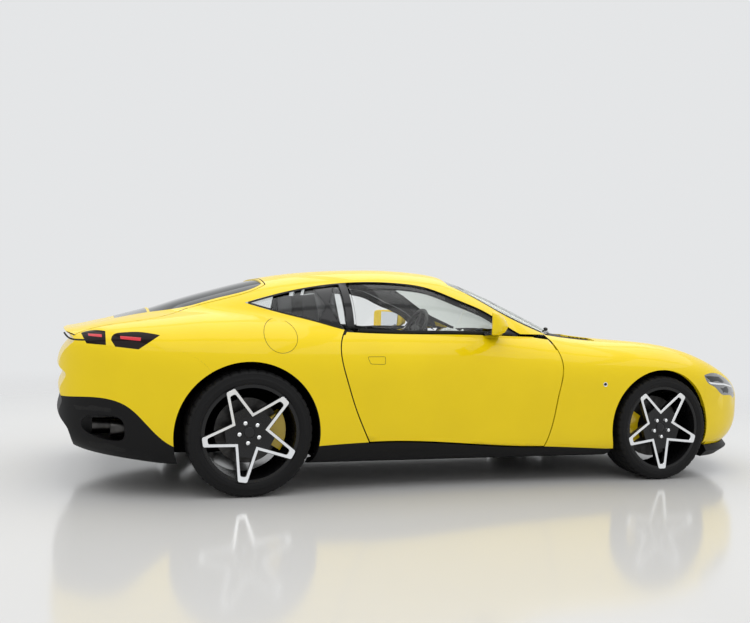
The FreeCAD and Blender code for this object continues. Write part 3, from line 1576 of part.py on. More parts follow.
add_node(make_platform(), "platform")
engine_half = size("rail_outset") - size("rail_width") / 2 - size("seat_gap")
engine_x = (front_axle_at - size("engine_length") / 2, front_axle_at + size("engine_length") / 2)
engine_z = (size("engine_low"), size("engine_low") + size("engine_height"))
add_node(block("engine_block", engine_x, (-engine_half, engine_half), engine_z), "engine_block")


# Cabin
def make_seat(label, side):
    """One seat: cushion, backrest and head rest in a single side outline."""
    body = doc.addObject("PartDesign::Body", label)
    place(body, (NOTHING, size("seat_offset") * side, floor_z[1] + size("seat_gap")))
    length = size("seat_length")
    tall = size("seat_height")
    outline = [(length * x, tall * z) for x, z in SEAT_SHARES]
    pad = padded(body, label + "_pad", "XZ_Plane", outline, size("seat_width"), middle=True)
    doc.recompute()
    fillet = body.newObject("PartDesign::Fillet", label + "_round")
    edges = ["Edge%d" % (i + 1) for i, edge in enumerate(pad.Shape.Edges) if abs(edge.tangentAt(0).y) < 0.5]
    fillet.Base = (pad, edges)
    bind(fillet, "Radius", size("seat_round"))
    return body


def make_dashboard():
    body = doc.addObject("PartDesign::Body", "dashboard")
    place(body, (firewall_x - size("seat_gap"), NOTHING, size("dash_low")))
    outline = [(size("dash_depth") * x, size("dash_height") * z) for x, z in DASH_SHARES]
    padded(body, "dash_pad", "XZ_Plane", outline, size("dash_width"), middle=True)
    return body


def make_steering_wheel():
    """Rim, hub and three spokes on a tilted column."""
    radius = size("steering_radius")
    thick = size("steering_rim")
    rim = doc.addObject("Part::Torus", "steering_rim_ring")
    bind(rim, "Radius1", radius)
    bind(rim, "Radius2", thick)
    place(rim, (NOTHING, NOTHING, NOTHING))
    hub = cylinder("steering_hub", radius / 3, thick * 2, (NOTHING, NOTHING, -thick))
    column = cylinder("steering_column", size("column_radius"), size("column_length"), (NOTHING, NOTHING, -size("column_length")))
    parts = [rim, hub, column]
    for i, angle in enumerate((0, 180, 270)):
        spoke = doc.addObject("Part::Box", "steering_spoke_%d" % i)
        bind(spoke, "Length", radius)
        bind(spoke, "Width", thick * 2)
        bind(spoke, "Height", thick)
        spoke.Placement = Placement(Vector(), Rotation(Vector(0, 0, 1), angle))
        turn = math.radians(angle)
        bind(spoke, "Placement.Base.x", thick * math.sin(turn))
        bind(spoke, "Placement.Base.y", thick * -math.cos(turn))
        bind(spoke, "Placement.Base.z", thick * -0.5)
        parts.append(spoke)
    wheel = fused("steering_wheel", parts)
    tilt = -(90 - mm("column_tilt"))
    place(wheel, (size("steering_lead"), size("seat_offset"), size("steering_height")), Rotation(Vector(0, 1, 0), tilt))
    return wheel


add_node(bodies("seats", [make_seat("seat_right", -1), make_seat("seat_left", 1)]), "seats")
add_node(make_dashboard(), "dashboard")
add_node(make_steering_wheel(), "steering_wheel")
doc.recompute()
timed("cabin and platform")

os.makedirs("parts", exist_ok=True)
doc.recompute()
for node in nodes:
    bad = [word for word in node.State if word in ("Invalid", "Error")]
    if bad or node.Shape.isNull() or not node.Shape.isValid():
        raise RuntimeError("%s did not build: %s" % (node.Label, node.State))
    node.Shape.exportStep("parts/%s.step" % node.Label)
timed("export")
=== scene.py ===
import json
import math

import bmesh
import bpy
import numpy as np
from mathutils import Matrix, Vector


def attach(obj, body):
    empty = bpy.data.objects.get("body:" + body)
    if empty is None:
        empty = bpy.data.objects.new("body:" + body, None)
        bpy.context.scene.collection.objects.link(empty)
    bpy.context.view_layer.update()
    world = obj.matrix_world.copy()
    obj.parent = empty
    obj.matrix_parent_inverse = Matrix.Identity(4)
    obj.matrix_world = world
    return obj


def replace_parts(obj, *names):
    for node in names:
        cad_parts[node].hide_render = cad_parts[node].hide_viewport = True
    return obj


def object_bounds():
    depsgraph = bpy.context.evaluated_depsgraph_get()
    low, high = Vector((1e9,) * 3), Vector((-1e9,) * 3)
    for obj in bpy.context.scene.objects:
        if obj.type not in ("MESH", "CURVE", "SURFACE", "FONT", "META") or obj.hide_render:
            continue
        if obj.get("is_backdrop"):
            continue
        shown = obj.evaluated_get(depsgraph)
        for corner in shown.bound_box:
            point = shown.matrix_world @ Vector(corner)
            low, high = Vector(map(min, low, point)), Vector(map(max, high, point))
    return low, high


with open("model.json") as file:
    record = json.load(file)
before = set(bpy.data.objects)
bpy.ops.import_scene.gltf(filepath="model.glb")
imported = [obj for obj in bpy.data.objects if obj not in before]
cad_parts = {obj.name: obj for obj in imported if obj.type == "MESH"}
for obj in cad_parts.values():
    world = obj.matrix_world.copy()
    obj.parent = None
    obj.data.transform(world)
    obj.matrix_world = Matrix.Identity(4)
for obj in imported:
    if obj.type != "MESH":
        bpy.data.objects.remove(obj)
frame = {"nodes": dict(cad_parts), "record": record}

cad_low, cad_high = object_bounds()
nodes = frame["nodes"]

# The body's own form, as in the part's source: metres, places along the body
# from -2 at the tail through -1 and 1 at the axles to 2 at the nose
WHEELBASE = 2.67
REAR_REACH = 1.027
FRONT_REACH = 0.959
HALF_WIDTH = 0.987
ROOF = 1.3
HALF_BASE = WHEELBASE / 2
SHIFT = (REAR_REACH * 0.991 - FRONT_REACH) / 2
FRONT_AXLE = SHIFT + HALF_BASE
REAR_AXLE = SHIFT - HALF_BASE
WIDTH_SHARES = [
    (-2.0, 0.405), (-1.99, 0.476), (-1.974, 0.557), (-1.949, 0.628),
    (-1.901, 0.704), (-1.803, 0.795), (-1.648, 0.887), (-1.404, 0.968),
    (-1.0, 1.0), (-0.712, 0.981), (-0.375, 0.95), (0.0, 0.937),
    (0.375, 0.942), (0.712, 0.963), (1.0, 0.973), (1.297, 0.947),
    (1.537, 0.883), (1.746, 0.775), (1.871, 0.648), (1.954, 0.476),
    (1.986, 0.334), (2.0, 0.203),
]
DECK_SHARES = [
    (-2.0, 0.666), (-1.969, 0.671), (-1.901, 0.681), (-1.745, 0.712),
    (-1.453, 0.758), (-1.161, 0.792), (-0.899, 0.804), (-0.599, 0.8),
    (0.0, 0.796), (0.375, 0.758), (0.599, 0.712), (0.787, 0.688),
    (0.936, 0.674), (1.12, 0.658), (1.328, 0.633), (1.537, 0.595),
    (1.746, 0.538), (1.902, 0.478), (1.965, 0.448), (1.991, 0.419),
    (2.0, 0.385),
]
BELLY_SHARES = [
    (-2.0, 0.277), (-1.969, 0.231), (-1.91, 0.188), (-1.842, 0.165),
    (-1.725, 0.146), (-1.501, 0.123), (-1.404, 0.115), (-0.749, 0.109),
    (0.0, 0.108), (0.749, 0.106), (1.381, 0.108), (1.693, 0.115),
    (1.85, 0.127), (1.954, 0.154), (1.985, 0.192), (2.0, 0.231),
]
CORE_SHARES = [
    (-2.0, 0.492), (-1.842, 0.477), (-1.0, 0.462), (-0.375, 0.431),
    (0.375, 0.415), (1.0, 0.431), (1.693, 0.385), (2.0, 0.315),
]
ROOF_SHARES = [
    (-2.0, 0.462), (-1.891, 0.615), (-1.693, 0.712), (-1.511, 0.767),
    (-1.325, 0.823), (-1.119, 0.875), (-0.891, 0.932), (-0.674, 0.971),
    (-0.449, 0.992), (-0.262, 1.0), (-0.075, 0.992), (0.075, 0.958),
    (0.225, 0.9), (0.375, 0.831), (0.524, 0.758), (0.637, 0.704),
    (0.749, 0.646), (0.974, 0.508),
]
CABIN_SHARES = [
    (-2.0, 0.405), (-1.842, 0.507), (-1.648, 0.593), (-1.355, 0.674),
    (-0.974, 0.765), (-0.674, 0.831), (-0.375, 0.859), (0.0, 0.871),
    (0.375, 0.879), (0.974, 0.881),
]
BLEND_SHARES = [(-2.0, 0.051), (-1.55, 0.051), (-1.063, 0.037), (-0.375, 0.03)]
UPPER_POWERS = [
    (-2.0, 7.0), (-1.901, 6.3), (-1.745, 4.8), (-1.55, 3.7), (-1.355, 3.2),
    (-1.0, 2.9), (-0.375, 3.2), (0.375, 3.3), (0.674, 3.8), (1.0, 4.2),
    (1.381, 4.1), (1.62, 3.8), (1.798, 3.4), (2.0, 3.0),
]
LOWER_POWERS = [
    (-2.0, 6.0), (-1.842, 7.0), (-1.0, 9.0), (0.0, 10.0), (1.0, 9.0),
    (1.485, 7.0), (1.693, 4.5), (1.85, 3.2), (2.0, 2.6),
]
CABIN_POWER = 2.9
CABIN_SKIRT = 0.12
CREST_RISE = 0.0567 * HALF_WIDTH
CREST_ACROSS = (0.699 * HALF_WIDTH, 0.172 * HALF_WIDTH)
CREST_REACH = 0.315 * HALF_BASE
CREST_SINE = 0.4
LEAST_RISE = 0.015 * ROOF
CREST_PLACE = 1.15
STEEPEST = 1.8
PLACE_STEP = HALF_BASE / 10000
NORMAL_STEP = 2e-4
TINY = 1e-12
SIDES = ((-1, "right"), (1, "left"))


def along(share):
    """Place along the body in metres."""
    if share < -1:
        return REAR_AXLE + (share + 1) * REAR_REACH
    if share > 1:
        return FRONT_AXLE + (share - 1) * FRONT_REACH
    return SHIFT + share * HALF_BASE


def smooth(table, scale=1.0):
    """Monotone curve through a table, for arrays of places."""
    xs = np.array([along(place) for place, value in table])
    ys = np.array([value * scale for place, value in table])
    steps = np.diff(xs)
    slopes = np.diff(ys) / steps
    tangents = np.zeros(len(xs))
    tangents[0], tangents[-1] = slopes[0], slopes[-1]
    for i in range(1, len(xs) - 1):
        if slopes[i - 1] * slopes[i] > 0:
            before = 2 * steps[i] + steps[i - 1]
            after = steps[i] + 2 * steps[i - 1]
            tangents[i] = (before + after) / (before / slopes[i - 1] + after / slopes[i])

    def curve(x):
        x = np.clip(np.asarray(x, float), xs[0], xs[-1])
        i = np.clip(np.searchsorted(xs, x, side="left") - 1, 0, len(steps) - 1)
        t = (x - xs[i]) / steps[i]
        start = ys[i] * (1 + 2 * t) * (1 - t) ** 2 + steps[i] * tangents[i] * t * (1 - t) ** 2
        return start + ys[i + 1] * t * t * (3 - 2 * t) + steps[i] * tangents[i + 1] * t * t * (t - 1)

    return curve


body_half = smooth(WIDTH_SHARES, HALF_WIDTH)
deck = smooth(DECK_SHARES, ROOF)
belly = smooth(BELLY_SHARES, ROOF)
core = smooth(CORE_SHARES, ROOF)
cabin_top = smooth(ROOF_SHARES, ROOF)
cabin_half = smooth(CABIN_SHARES, HALF_WIDTH)
blend_width = smooth(BLEND_SHARES, HALF_WIDTH)
upper_power = smooth(UPPER_POWERS)
lower_power = smooth(LOWER_POWERS)


def oval(half, rise, power, cosine, sine):
    """Radius of a rounded section in a direction."""
    return ((np.abs(cosine) / half) ** power + (np.abs(sine) / rise) ** power) ** (-1 / power)


def lower_radius(x, angle, wall=0.0):
    """Radius of the lower body about its core line."""
    cosine, sine = np.cos(angle), np.sin(angle)
    half = body_half(x) - wall
    middle = core(x)
    low = oval(half, middle - belly(x) - wall, lower_power(x), cosine, sine)
    high = oval(half, deck(x) - middle - wall, upper_power(x), cosine, sine)
    aside = (high * np.abs(cosine) - CREST_ACROSS[0]) / CREST_ACROSS[1]
    ahead = (x - along(CREST_PLACE)) / CREST_REACH
    ramp = np.clip(sine / CREST_SINE, 0, 1)
    high = high + CREST_RISE * np.exp(-aside ** 2 - ahead ** 2) * ramp * ramp * (3 - 2 * ramp)
    return np.where(sine < 0, low, high)


def upper_radius(x, angle, wall=0.0):
    """Radius of the cabin about the same core line."""
    cosine, sine = np.cos(angle), np.sin(angle)
    half = cabin_half(x) - wall
    rise = np.maximum(cabin_top(x) - core(x) - wall, LEAST_RISE)
    rise = np.where(sine < 0, CABIN_SKIRT * ROOF - wall, rise)
    return oval(half, rise, CABIN_POWER, cosine, sine)


def rear_radius(x, angle, wall=0.0):
    """Lower body and cabin run together, as behind the doors."""
    low = lower_radius(x, angle, wall)
    high = upper_radius(x, angle, wall)
    blend = blend_width(x)
    near = np.maximum(blend - np.abs(low - high), 0) / blend
    both = np.maximum(low, high) + near * near * blend / 4
    return np.where(np.sin(angle) <= 0, low, both)


def proud(radius, points):
    """How far points stand outside a skin, along their own radius."""
    x, y, z = points.T
    rise = z - core(x)
    return np.hypot(y, rise) - radius(x, np.arctan2(rise, y))


def inset(radius, wall):
    """The same skin moved inwards, as the source does it."""

    def inner(x, angle):
        outer = radius(x, angle)
        y, z = outer * np.cos(angle), core(x) + outer * np.sin(angle)

        def beyond(place):
            rise = z - core(place)
            return np.hypot(y, rise) - radius(place, np.arctan2(rise, y))

        ahead = (beyond(x + PLACE_STEP) - beyond(x - PLACE_STEP)) / (2 * PLACE_STEP)
        return radius(x, angle, wall * np.minimum(np.hypot(1, ahead), STEEPEST))

    return inner


def skin_normals(radius, points):
    """Outward directions of a skin at points on it."""
    slopes = []
    for axis in range(3):
        move = np.zeros(3)
        move[axis] = NORMAL_STEP
        slopes.append(proud(radius, points + move) - proud(radius, points - move))
    normals = np.array(slopes).T
    return normals / np.maximum(np.linalg.norm(normals, axis=1, keepdims=True), TINY)


# Materials
def set_inputs(node, values):
    """Set a shader node's inputs by name, with _ for a blank."""
    for key, value in values.items():
        node.inputs[key.replace("_", " ")].default_value = value


def add_node(tree, kind, **values):
    """A new shader node with its inputs set."""
    made = tree.nodes.new("ShaderNode" + kind)
    set_inputs(made, values)
    return made


def material(name, color, roughness=0.5, metallic=0.0, **inputs):
    """A material of the usual kind: base colour, roughness, metal and more by name."""
    made = bpy.data.materials.new(name)
    made.use_nodes = True
    shader = made.node_tree.nodes["Principled BSDF"]
    set_inputs(shader, {"Base Color": (*color, 1), "Roughness": roughness, "Metallic": metallic, **inputs})
    made.diffuse_color = (*color, 1)
    return made


def noise(made, scale, detail=3.0, stretch=(1, 1, 1)):
    """A noise over the object's own place, in metres: its tree, shader and texture."""
    tree = made.node_tree
    place = add_node(tree, "TexCoord")
    mapping = add_node(tree, "Mapping", Scale=stretch)
    tree.links.new(place.outputs["Object"], mapping.inputs["Vector"])
    texture = add_node(tree, "TexNoise", Scale=scale, Detail=detail)
    tree.links.new(mapping.outputs["Vector"], texture.inputs["Vector"])
    return tree, tree.nodes["Principled BSDF"], texture.outputs["Fac"]


def vary_color(made, scale, low, high):
    """Base colour that runs between two colours with a noise."""
    tree, shader, texture = noise(made, scale)
    ramp = add_node(tree, "ValToRGB")
    for stop, place, color in zip(ramp.color_ramp.elements, (0.35, 0.65), (low, high)):
        stop.position = place
        stop.color = (*color, 1)
    tree.links.new(texture, ramp.inputs["Fac"])
    tree.links.new(ramp.outputs["Color"], shader.inputs["Base Color"])


def vary_roughness(made, scale, low, high, stretch=(1, 1, 1)):
    """Roughness that runs between two values with a noise."""
    tree, shader, texture = noise(made, scale, stretch=stretch)
    spread = add_node(tree, "MapRange", To_Min=low, To_Max=high)
    tree.links.new(texture, spread.inputs["Value"])
    tree.links.new(spread.outputs["Result"], shader.inputs["Roughness"])


def relief(made, scale, strength, depth, detail=3.0):
    """A bump from a noise, its depth in metres."""
    tree, shader, texture = noise(made, scale, detail)
    bump = add_node(tree, "Bump", Strength=strength, Distance=depth)
    tree.links.new(texture, bump.inputs["Height"])
    tree.links.new(bump.outputs["Normal"], shader.inputs["Normal"])


paint = material(
    "paint_yellow", (0.80, 0.60, 0.0), 0.45,
    Specular_IOR_Level=0.1, Coat_Weight=0.5, Coat_Roughness=0.02)
vary_color(paint, 3.0, (0.84, 0.615, 0.0), (0.87, 0.64, 0.0))
satin = material("satin_charcoal", (0.007, 0.007, 0.0075), 0.5, Specular_IOR_Level=0.15)
vary_roughness(satin, 220.0, 0.42, 0.58)
relief(satin, 900.0, 0.12, 0.0004)
gloss_black = material(
    "gloss_black", (0.005, 0.005, 0.006), 0.12,
    Specular_IOR_Level=0.3, Coat_Weight=0.25, Coat_Roughness=0.03)
vary_roughness(gloss_black, 60.0, 0.08, 0.16)
rubber = material("tyre_rubber", (0.007, 0.007, 0.0075), 0.62, Specular_IOR_Level=0.2)
vary_roughness(rubber, 90.0, 0.5, 0.72)
relief(rubber, 700.0, 0.2, 0.0005)
seal = material("window_seal", (0.006, 0.006, 0.006), 0.55, Specular_IOR_Level=0.25)
vary_roughness(seal, 300.0, 0.45, 0.65)
under = material("underbody_coat", (0.012, 0.012, 0.013), 0.8, Specular_IOR_Level=0.2)
vary_color(under, 14.0, (0.008, 0.008, 0.009), (0.018, 0.018, 0.019))
relief(under, 240.0, 0.4, 0.001)
felt = material("liner_felt", (0.006, 0.006, 0.0065), 0.95, Specular_IOR_Level=0.1)
relief(felt, 500.0, 0.6, 0.001)
ceramic = material("brake_disc", (0.05, 0.05, 0.05), 0.35, 0.75)
vary_color(ceramic, 40.0, (0.035, 0.034, 0.033), (0.06, 0.058, 0.056))
caliper_paint = material(
    "caliper_paint", (0.8, 0.56, 0.004), 0.3, Coat_Weight=0.8, Coat_Roughness=0.08)
relief(caliper_paint, 500.0, 0.1, 0.0003)
cast = material("cast_aluminium", (0.42, 0.42, 0.43), 0.45, 1.0)
relief(cast, 320.0, 0.3, 0.0006)
bright = material("diamond_cut", (0.86, 0.87, 0.88), 0.16, 1.0)
vary_roughness(bright, 240.0, 0.1, 0.22, (1, 6, 1))
steel = material("exhaust_steel", (0.05, 0.05, 0.05), 0.3, 1.0)
vary_color(steel, 20.0, (0.035, 0.034, 0.033), (0.07, 0.068, 0.066))
leather = material("seat_leather", (0.022, 0.022, 0.023), 0.5)
relief(leather, 420.0, 0.45, 0.0006, 6.0)
vary_roughness(leather, 120.0, 0.42, 0.6)
cabin_skin = material("cabin_trim", (0.024, 0.024, 0.026), 0.6)
relief(cabin_skin, 520.0, 0.35, 0.0005, 5.0)
PANE = {"Transmission_Weight": 1.0, "IOR": 1.3}
screen_glass = material("screen_glass", (0.78, 0.82, 0.77), 0.0, **PANE)
side_glass = material("side_glass", (0.965, 0.975, 0.97), 0.0, **PANE)
dark_glass = material("privacy_glass", (0.02, 0.024, 0.026), 0.04, IOR=1.22)
quarter_tint = material("quarter_glass", (0.88, 0.90, 0.90), 0.0, **PANE)
rim_black = material("rim_black", (0.006, 0.006, 0.0065), 0.28, Specular_IOR_Level=0.35)
vary_roughness(rim_black, 160.0, 0.22, 0.34)
smoked = material("smoked_lamp", (0.008, 0.003, 0.003), 0.06, IOR=1.22)
headliner = material("headliner", (0.02, 0.02, 0.021), 0.85)
relief(headliner, 800.0, 0.3, 0.0005)
# Headlamp housing: mid grey, partly the housing's own dark colour and partly a painted reflection of the
# clear cover over it
lamp_grey_painted_reflection = material(
    "lamp_housing_painted_reflection", (0.16, 0.165, 0.17), 0.06, Coat_Weight=1.0, Coat_Roughness=0.01)
lamp_red = material("lamp_red", (0.62, 0.01, 0.025), 0.25)
lamp_amber = material("lamp_amber", (0.16, 0.07, 0.01), 0.15, Coat_Weight=0.5)
lamp_cell = material("lamp_cell", (0.03, 0.032, 0.036), 0.12, 0.3)
vary_roughness(lamp_cell, 200.0, 0.08, 0.2)
lamp_white = material("lamp_white", (0.85, 0.87, 0.9), 0.25, Coat_Weight=1.0)
mirror_glass = material("mirror_glass", (0.75, 0.78, 0.8), 0.02, 1.0)
gap = material("gap_shadow", (0.004, 0.004, 0.004), 0.9)
vary_roughness(gap, 100.0, 0.8, 0.95)
chrome = material("chrome", (0.82, 0.83, 0.84), 0.08, 1.0)
vary_roughness(chrome, 90.0, 0.05, 0.12)


# Body panels again, from the frame's own meshes, with the skin's own normals
SKINS = [lower_radius, upper_radius, rear_radius]
SKIN_TOLERANCE = 6e-4
MERGE = 2e-6
LEAST_CROSS = 1e-15
SHARP = math.radians(28)
FACING = 0.8
LINING_DEPTH = 0.003
TAIL_ZONE, NOSE_ZONE, END_FACING = 0.14, 0.16, 0.4
EDGE_FACING = 0.6
CABIN_PANELS = ("roof", "quarter_right", "quarter_left", "door_right", "door_left")


def lined(node, skins, lining, points, faces, flat):
    """Faces that show the lining: a panel's inner side, or the edges of a pane."""
    middle = points[faces].mean(axis=1)
    if lining is seal:
        depths = np.array([np.abs(proud(radius, middle)) for radius in skins])
        facing = np.array([
            np.abs(np.einsum("ij,ij->i", skin_normals(radius, middle), flat)) for radius in skins])
        return facing[np.argmin(depths, axis=0), np.arange(len(faces))] < EDGE_FACING
    if node in CABIN_PANELS:
        deep = np.min([np.abs(proud(radius, points)) for radius in skins], axis=0) > LINING_DEPTH
    else:
        deep = np.max([proud(radius, points) for radius in skins], axis=0) < -LINING_DEPTH
    tail = (flat[:, 0] < -END_FACING) & (middle[:, 0] < cad_low[0] + TAIL_ZONE)
    nose = (flat[:, 0] > END_FACING) & (middle[:, 0] > cad_high[0] - NOSE_ZONE)
    return deep[faces].any(axis=1) & ~(tail | nose)


def link(name, mesh, body):
    """An object for a mesh, riding on a body."""
    made = bpy.data.objects.new(name, mesh)
    bpy.context.scene.collection.objects.link(made)
    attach(made, body)
    return made


def refined(name, node, finish, skins=SKINS, lining=None):
    """A copy of a node's mesh whose outer faces carry exact skin normals."""
    work = bmesh.new()
    work.from_mesh(nodes[node].data)
    bmesh.ops.remove_doubles(work, verts=work.verts, dist=MERGE)
    bmesh.ops.dissolve_degenerate(work, edges=work.edges, dist=MERGE)
    mesh = bpy.data.meshes.new(name)
    work.to_mesh(mesh)
    work.free()
    mesh.materials.clear()
    mesh.materials.append(finish)
    points = np.empty(len(mesh.vertices) * 3)
    mesh.vertices.foreach_get("co", points)
    points = points.reshape(-1, 3)
    mesh.polygons.foreach_set("use_smooth", [True] * len(mesh.polygons))
    mesh.set_sharp_from_angle(angle=SHARP)
    corner = np.empty(len(mesh.loops) * 3)
    mesh.corner_normals.foreach_get("vector", corner)
    corner = corner.reshape(-1, 3)
    loop_points = np.empty(len(mesh.loops), dtype=np.int32)
    mesh.loops.foreach_get("vertex_index", loop_points)
    faces = loop_points.reshape(-1, 3)
    first, second, third = (points[faces[:, slot]] for slot in range(3))
    flat = np.cross(second - first, third - first)
    flat /= np.maximum(np.linalg.norm(flat, axis=1, keepdims=True), LEAST_CROSS)
    taken = np.zeros(len(faces), bool)
    for radius in skins:
        near = np.abs(proud(radius, points)) < SKIN_TOLERANCE
        normals = skin_normals(radius, points)
        fits = near[faces].all(axis=1) & ~taken
        fits &= np.einsum("ij,ij->i", normals[faces].mean(axis=1), flat) > FACING
        rows = np.flatnonzero(fits)
        for slot in range(3):
            corner[rows * 3 + slot] = normals[faces[rows, slot]]
        taken |= fits
    if lining:
        mesh.materials.append(lining)
        inside = lined(node, skins, lining, points, faces, flat) & ~taken
        mesh.polygons.foreach_set("material_index", inside.astype(np.int32))
    mesh.normals_split_custom_set(corner.tolist())
    record = frame["record"]
    body = next(b for b, held in record["behaviour"]["bodies"].items() if node in held)
    slot = next(s["material_slot"] for s in record["subparts"] if s["node"] == node)
    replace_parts(link(name, mesh, body), node)


PANELS = (
    "front_bumper", "front_wing_right", "front_wing_left", "bonnet", "roof", "quarter_right",
    "quarter_left", "rear_bumper", "boot_lid", "door_right", "door_left", "sills", "diffuser")
for node in PANELS:
    finish = satin if node in ("sills", "diffuser") else paint
    lining = headliner if node in ("roof", "door_right", "door_left") else under
    refined(node + "_skin", node, finish, SKINS, lining)
GLASS_SKINS = [inset(radius, wall) for radius in (upper_radius, rear_radius) for wall in (0.008, 0.013)]
for node, finish in (
        ("windscreen", screen_glass), ("rear_window", dark_glass), ("quarter_glass", quarter_tint),
        ("door_glass_right", side_glass), ("door_glass_left", side_glass)):
    refined(node + "_pane", node, finish, GLASS_SKINS, seal)
# the headlamps' grey carries a painted reflection of their clear cover
for node, finish in (
        ("spoiler_flap", gloss_black), ("pillar_covers", gloss_black),
        ("tail_lamps", smoked), ("headlamps", lamp_grey_painted_reflection)):
    refined(node + "_cover", node, finish)
FINISHES = [
    (satin, "front_splitter grille cowl"), (steel, "exhausts"), (felt, "wheel_liners"),
    (under, "latch_posts platform front_suspension rear_suspension"),
    (cabin_skin, "dashboard"), (leather, "seats steering_wheel"), (paint, "mirror_right mirror_left"),
    (cast, "engine_block knuckle_front_right knuckle_front_left"),
    (caliper_paint, "rear_calipers caliper_front_right caliper_front_left"),
]
for corner in ("front_right", "front_left", "rear_right", "rear_left"):
    FINISHES += [(rubber, "tyre_" + corner), (rim_black, "rim_" + corner), (ceramic, "brake_disc_" + corner)]
for finish, held in FINISHES:
    for node in held.split():
        mesh = nodes[node].data
        if not mesh.materials:
            mesh.materials.append(finish)
        for i in range(len(mesh.materials)):
            mesh.materials[i] = finish


# Helpers for trim that lies on the skin: search limits in metres
NEAREST, FARTHEST = 0.2, 1.3
LOWEST, HIGHEST = 0.02, 1.5
HALVINGS = 40
WELD = 1e-6
TRIM_SHARP = math.radians(35)


def natural(points, count):
    """Points along a smooth cubic curve through the given ones."""
    points = np.array(points, float)
    knots = np.concatenate([[0], np.cumsum(np.linalg.norm(np.diff(points, axis=0), axis=1))])
    steps = np.diff(knots)
    size = len(points)
    left = np.eye(size)
    side = np.zeros((size, points.shape[1]))
    for i in range(1, size - 1):
        before, after = steps[i - 1], steps[i]
        left[i, i - 1:i + 2] = before, 2 * (before + after), after
        side[i] = 6 * ((points[i + 1] - points[i]) / after - (points[i] - points[i - 1]) / before)
    bend = np.linalg.solve(left, side)
    at = np.linspace(0, knots[-1], count)
    i = np.clip(np.searchsorted(knots, at, side="right") - 1, 0, size - 2)
    t = (at - knots[i])[:, None]
    h = steps[i][:, None]
    slope = (points[i + 1] - points[i]) / h - h * (2 * bend[i] + bend[i + 1]) / 6
    return points[i] + slope * t + bend[i] / 2 * t ** 2 + (bend[i + 1] - bend[i]) / (6 * h) * t ** 3


def metres(shares, whole=ROOF):
    """Places (x, z) in metres from shares, or (x, y) with the half width as the whole."""
    return [(along(place), share * whole) for place, share in shares]


def surfaced(near, far, spot, radius, lift):
    """Where lines of spots come out of a skin, found by halving."""
    for turn in range(HALVINGS):
        middle = (near + far) / 2
        outside = proud(radius, spot(middle)) > lift
        far = np.where(outside, middle, far)
        near = np.where(outside, near, middle)
    return spot((near + far) / 2)


def on_side(xz, radius, lift=0.0, side=-1):
    """Points of a skin at places (x, z) on one side of the car."""
    x, z = np.array(xz, float).T
    near, far = np.full(len(x), NEAREST), np.full(len(x), FARTHEST)
    return surfaced(near, far, lambda y: np.stack([x, y, z], 1), radius, lift) * (1, side, 1)


def on_top(xy, radius, lift=0.0):
    """Points of a skin at places (x, y) seen from above."""
    x, y = np.array(xy, float).T
    near, far = core(x) + LOWEST, np.full(len(x), HIGHEST)
    return surfaced(near, far, lambda z: np.stack([x, y, z], 1), radius, lift)


def build(name, points, faces, finish, slot, body="body_shell", flat=False):
    """A piece from its points and faces, riding on a body."""
    mesh = bpy.data.meshes.new(name)
    mesh.from_pydata([tuple(p) for p in points], [], faces)
    mesh.materials.append(finish)
    work = bmesh.new()
    work.from_mesh(mesh)
    bmesh.ops.remove_doubles(work, verts=work.verts, dist=WELD)
    bmesh.ops.recalc_face_normals(work, faces=work.faces)
    work.to_mesh(mesh)
    work.free()
    mesh.polygons.foreach_set("use_smooth", [not flat] * len(mesh.polygons))
    if not flat:
        mesh.set_sharp_from_angle(angle=TRIM_SHARP)
    return link(name, mesh, body)


def bridged(rows, size, capped=False):
    """Faces between rows of points that close on themselves, with both ends shut if asked."""
    faces = []
    for row in range(rows - 1):
        for i in range(size):
            j = (i + 1) % size
            faces.append((row * size + i, row * size + j, (row + 1) * size + j, (row + 1) * size + i))
    if capped:
        faces.append(tuple(range(size)))
        faces.append(tuple((rows - 1) * size + i for i in reversed(range(size))))
    return faces


def lofted(runs, capped=False):
    """Points and faces of a form with a section across equal runs of points."""
    return np.stack(runs, 1).reshape(-1, 3), bridged(len(runs[0]), len(runs), capped)


def spun(turns, size):
    """Faces between the runs of a turned form."""
    faces = []
    for i in range(turns):
        j = (i + 1) % turns
        for k in range(size - 1):
            faces.append((i * size + k, j * size + k, j * size + k + 1, i * size + k + 1))
    return faces


def bar(points, profile, normals, closed=False):
    """A strip along points. The profile holds (across, out) in metres."""
    if closed:
        tangents = np.roll(points, -1, 0) - np.roll(points, 1, 0)
    else:
        tangents = np.gradient(points, axis=0)
    tangents /= np.linalg.norm(tangents, axis=1, keepdims=True)
    across = np.cross(tangents, normals)
    across /= np.maximum(np.linalg.norm(across, axis=1, keepdims=True), TINY)
    runs = [points + across * a + normals * b for a, b in profile]
    if closed:
        runs = [np.vstack([run, run[:1]]) for run in runs]
    return lofted(runs, not closed)


def flat_bar(width, low, high, ease=0.0):
    """Cross section of a strip, its top edges eased."""
    half = width / 2
    right = [(half - ease, high), (half, high - ease), (half, low)]
    return [(-across, out) for across, out in reversed(right)] + right


def lathe(profile, count):
    """Rings of (radius, out) round the Z axis."""
    angles = [2 * math.pi * i / count for i in range(count)]
    points = [(r * math.cos(a), r * math.sin(a), z) for a in angles for r, z in profile]
    return np.array(points), spun(count, len(profile))


def placed(part, origin, out):
    """Part points from their own Z axis to an outward direction."""
    points, faces = part
    out = out / np.linalg.norm(out)
    right = np.cross((0, 0, 1), out)
    right /= np.linalg.norm(right)
    top = np.cross(out, right)
    return np.array(origin) + points[:, :1] * right + points[:, 1:2] * top + points[:, 2:] * out, faces


def skin_strip(name, xz, radius, profile, finish, side, body="body_shell", closed=False):
    """A strip that lies on a skin along a side outline (x, z)."""
    points = on_side(xz, radius, 0.0, side)
    part = bar(points, profile, skin_normals(radius, points), closed)
    return build(name, *part, finish, "gloss_black", body)


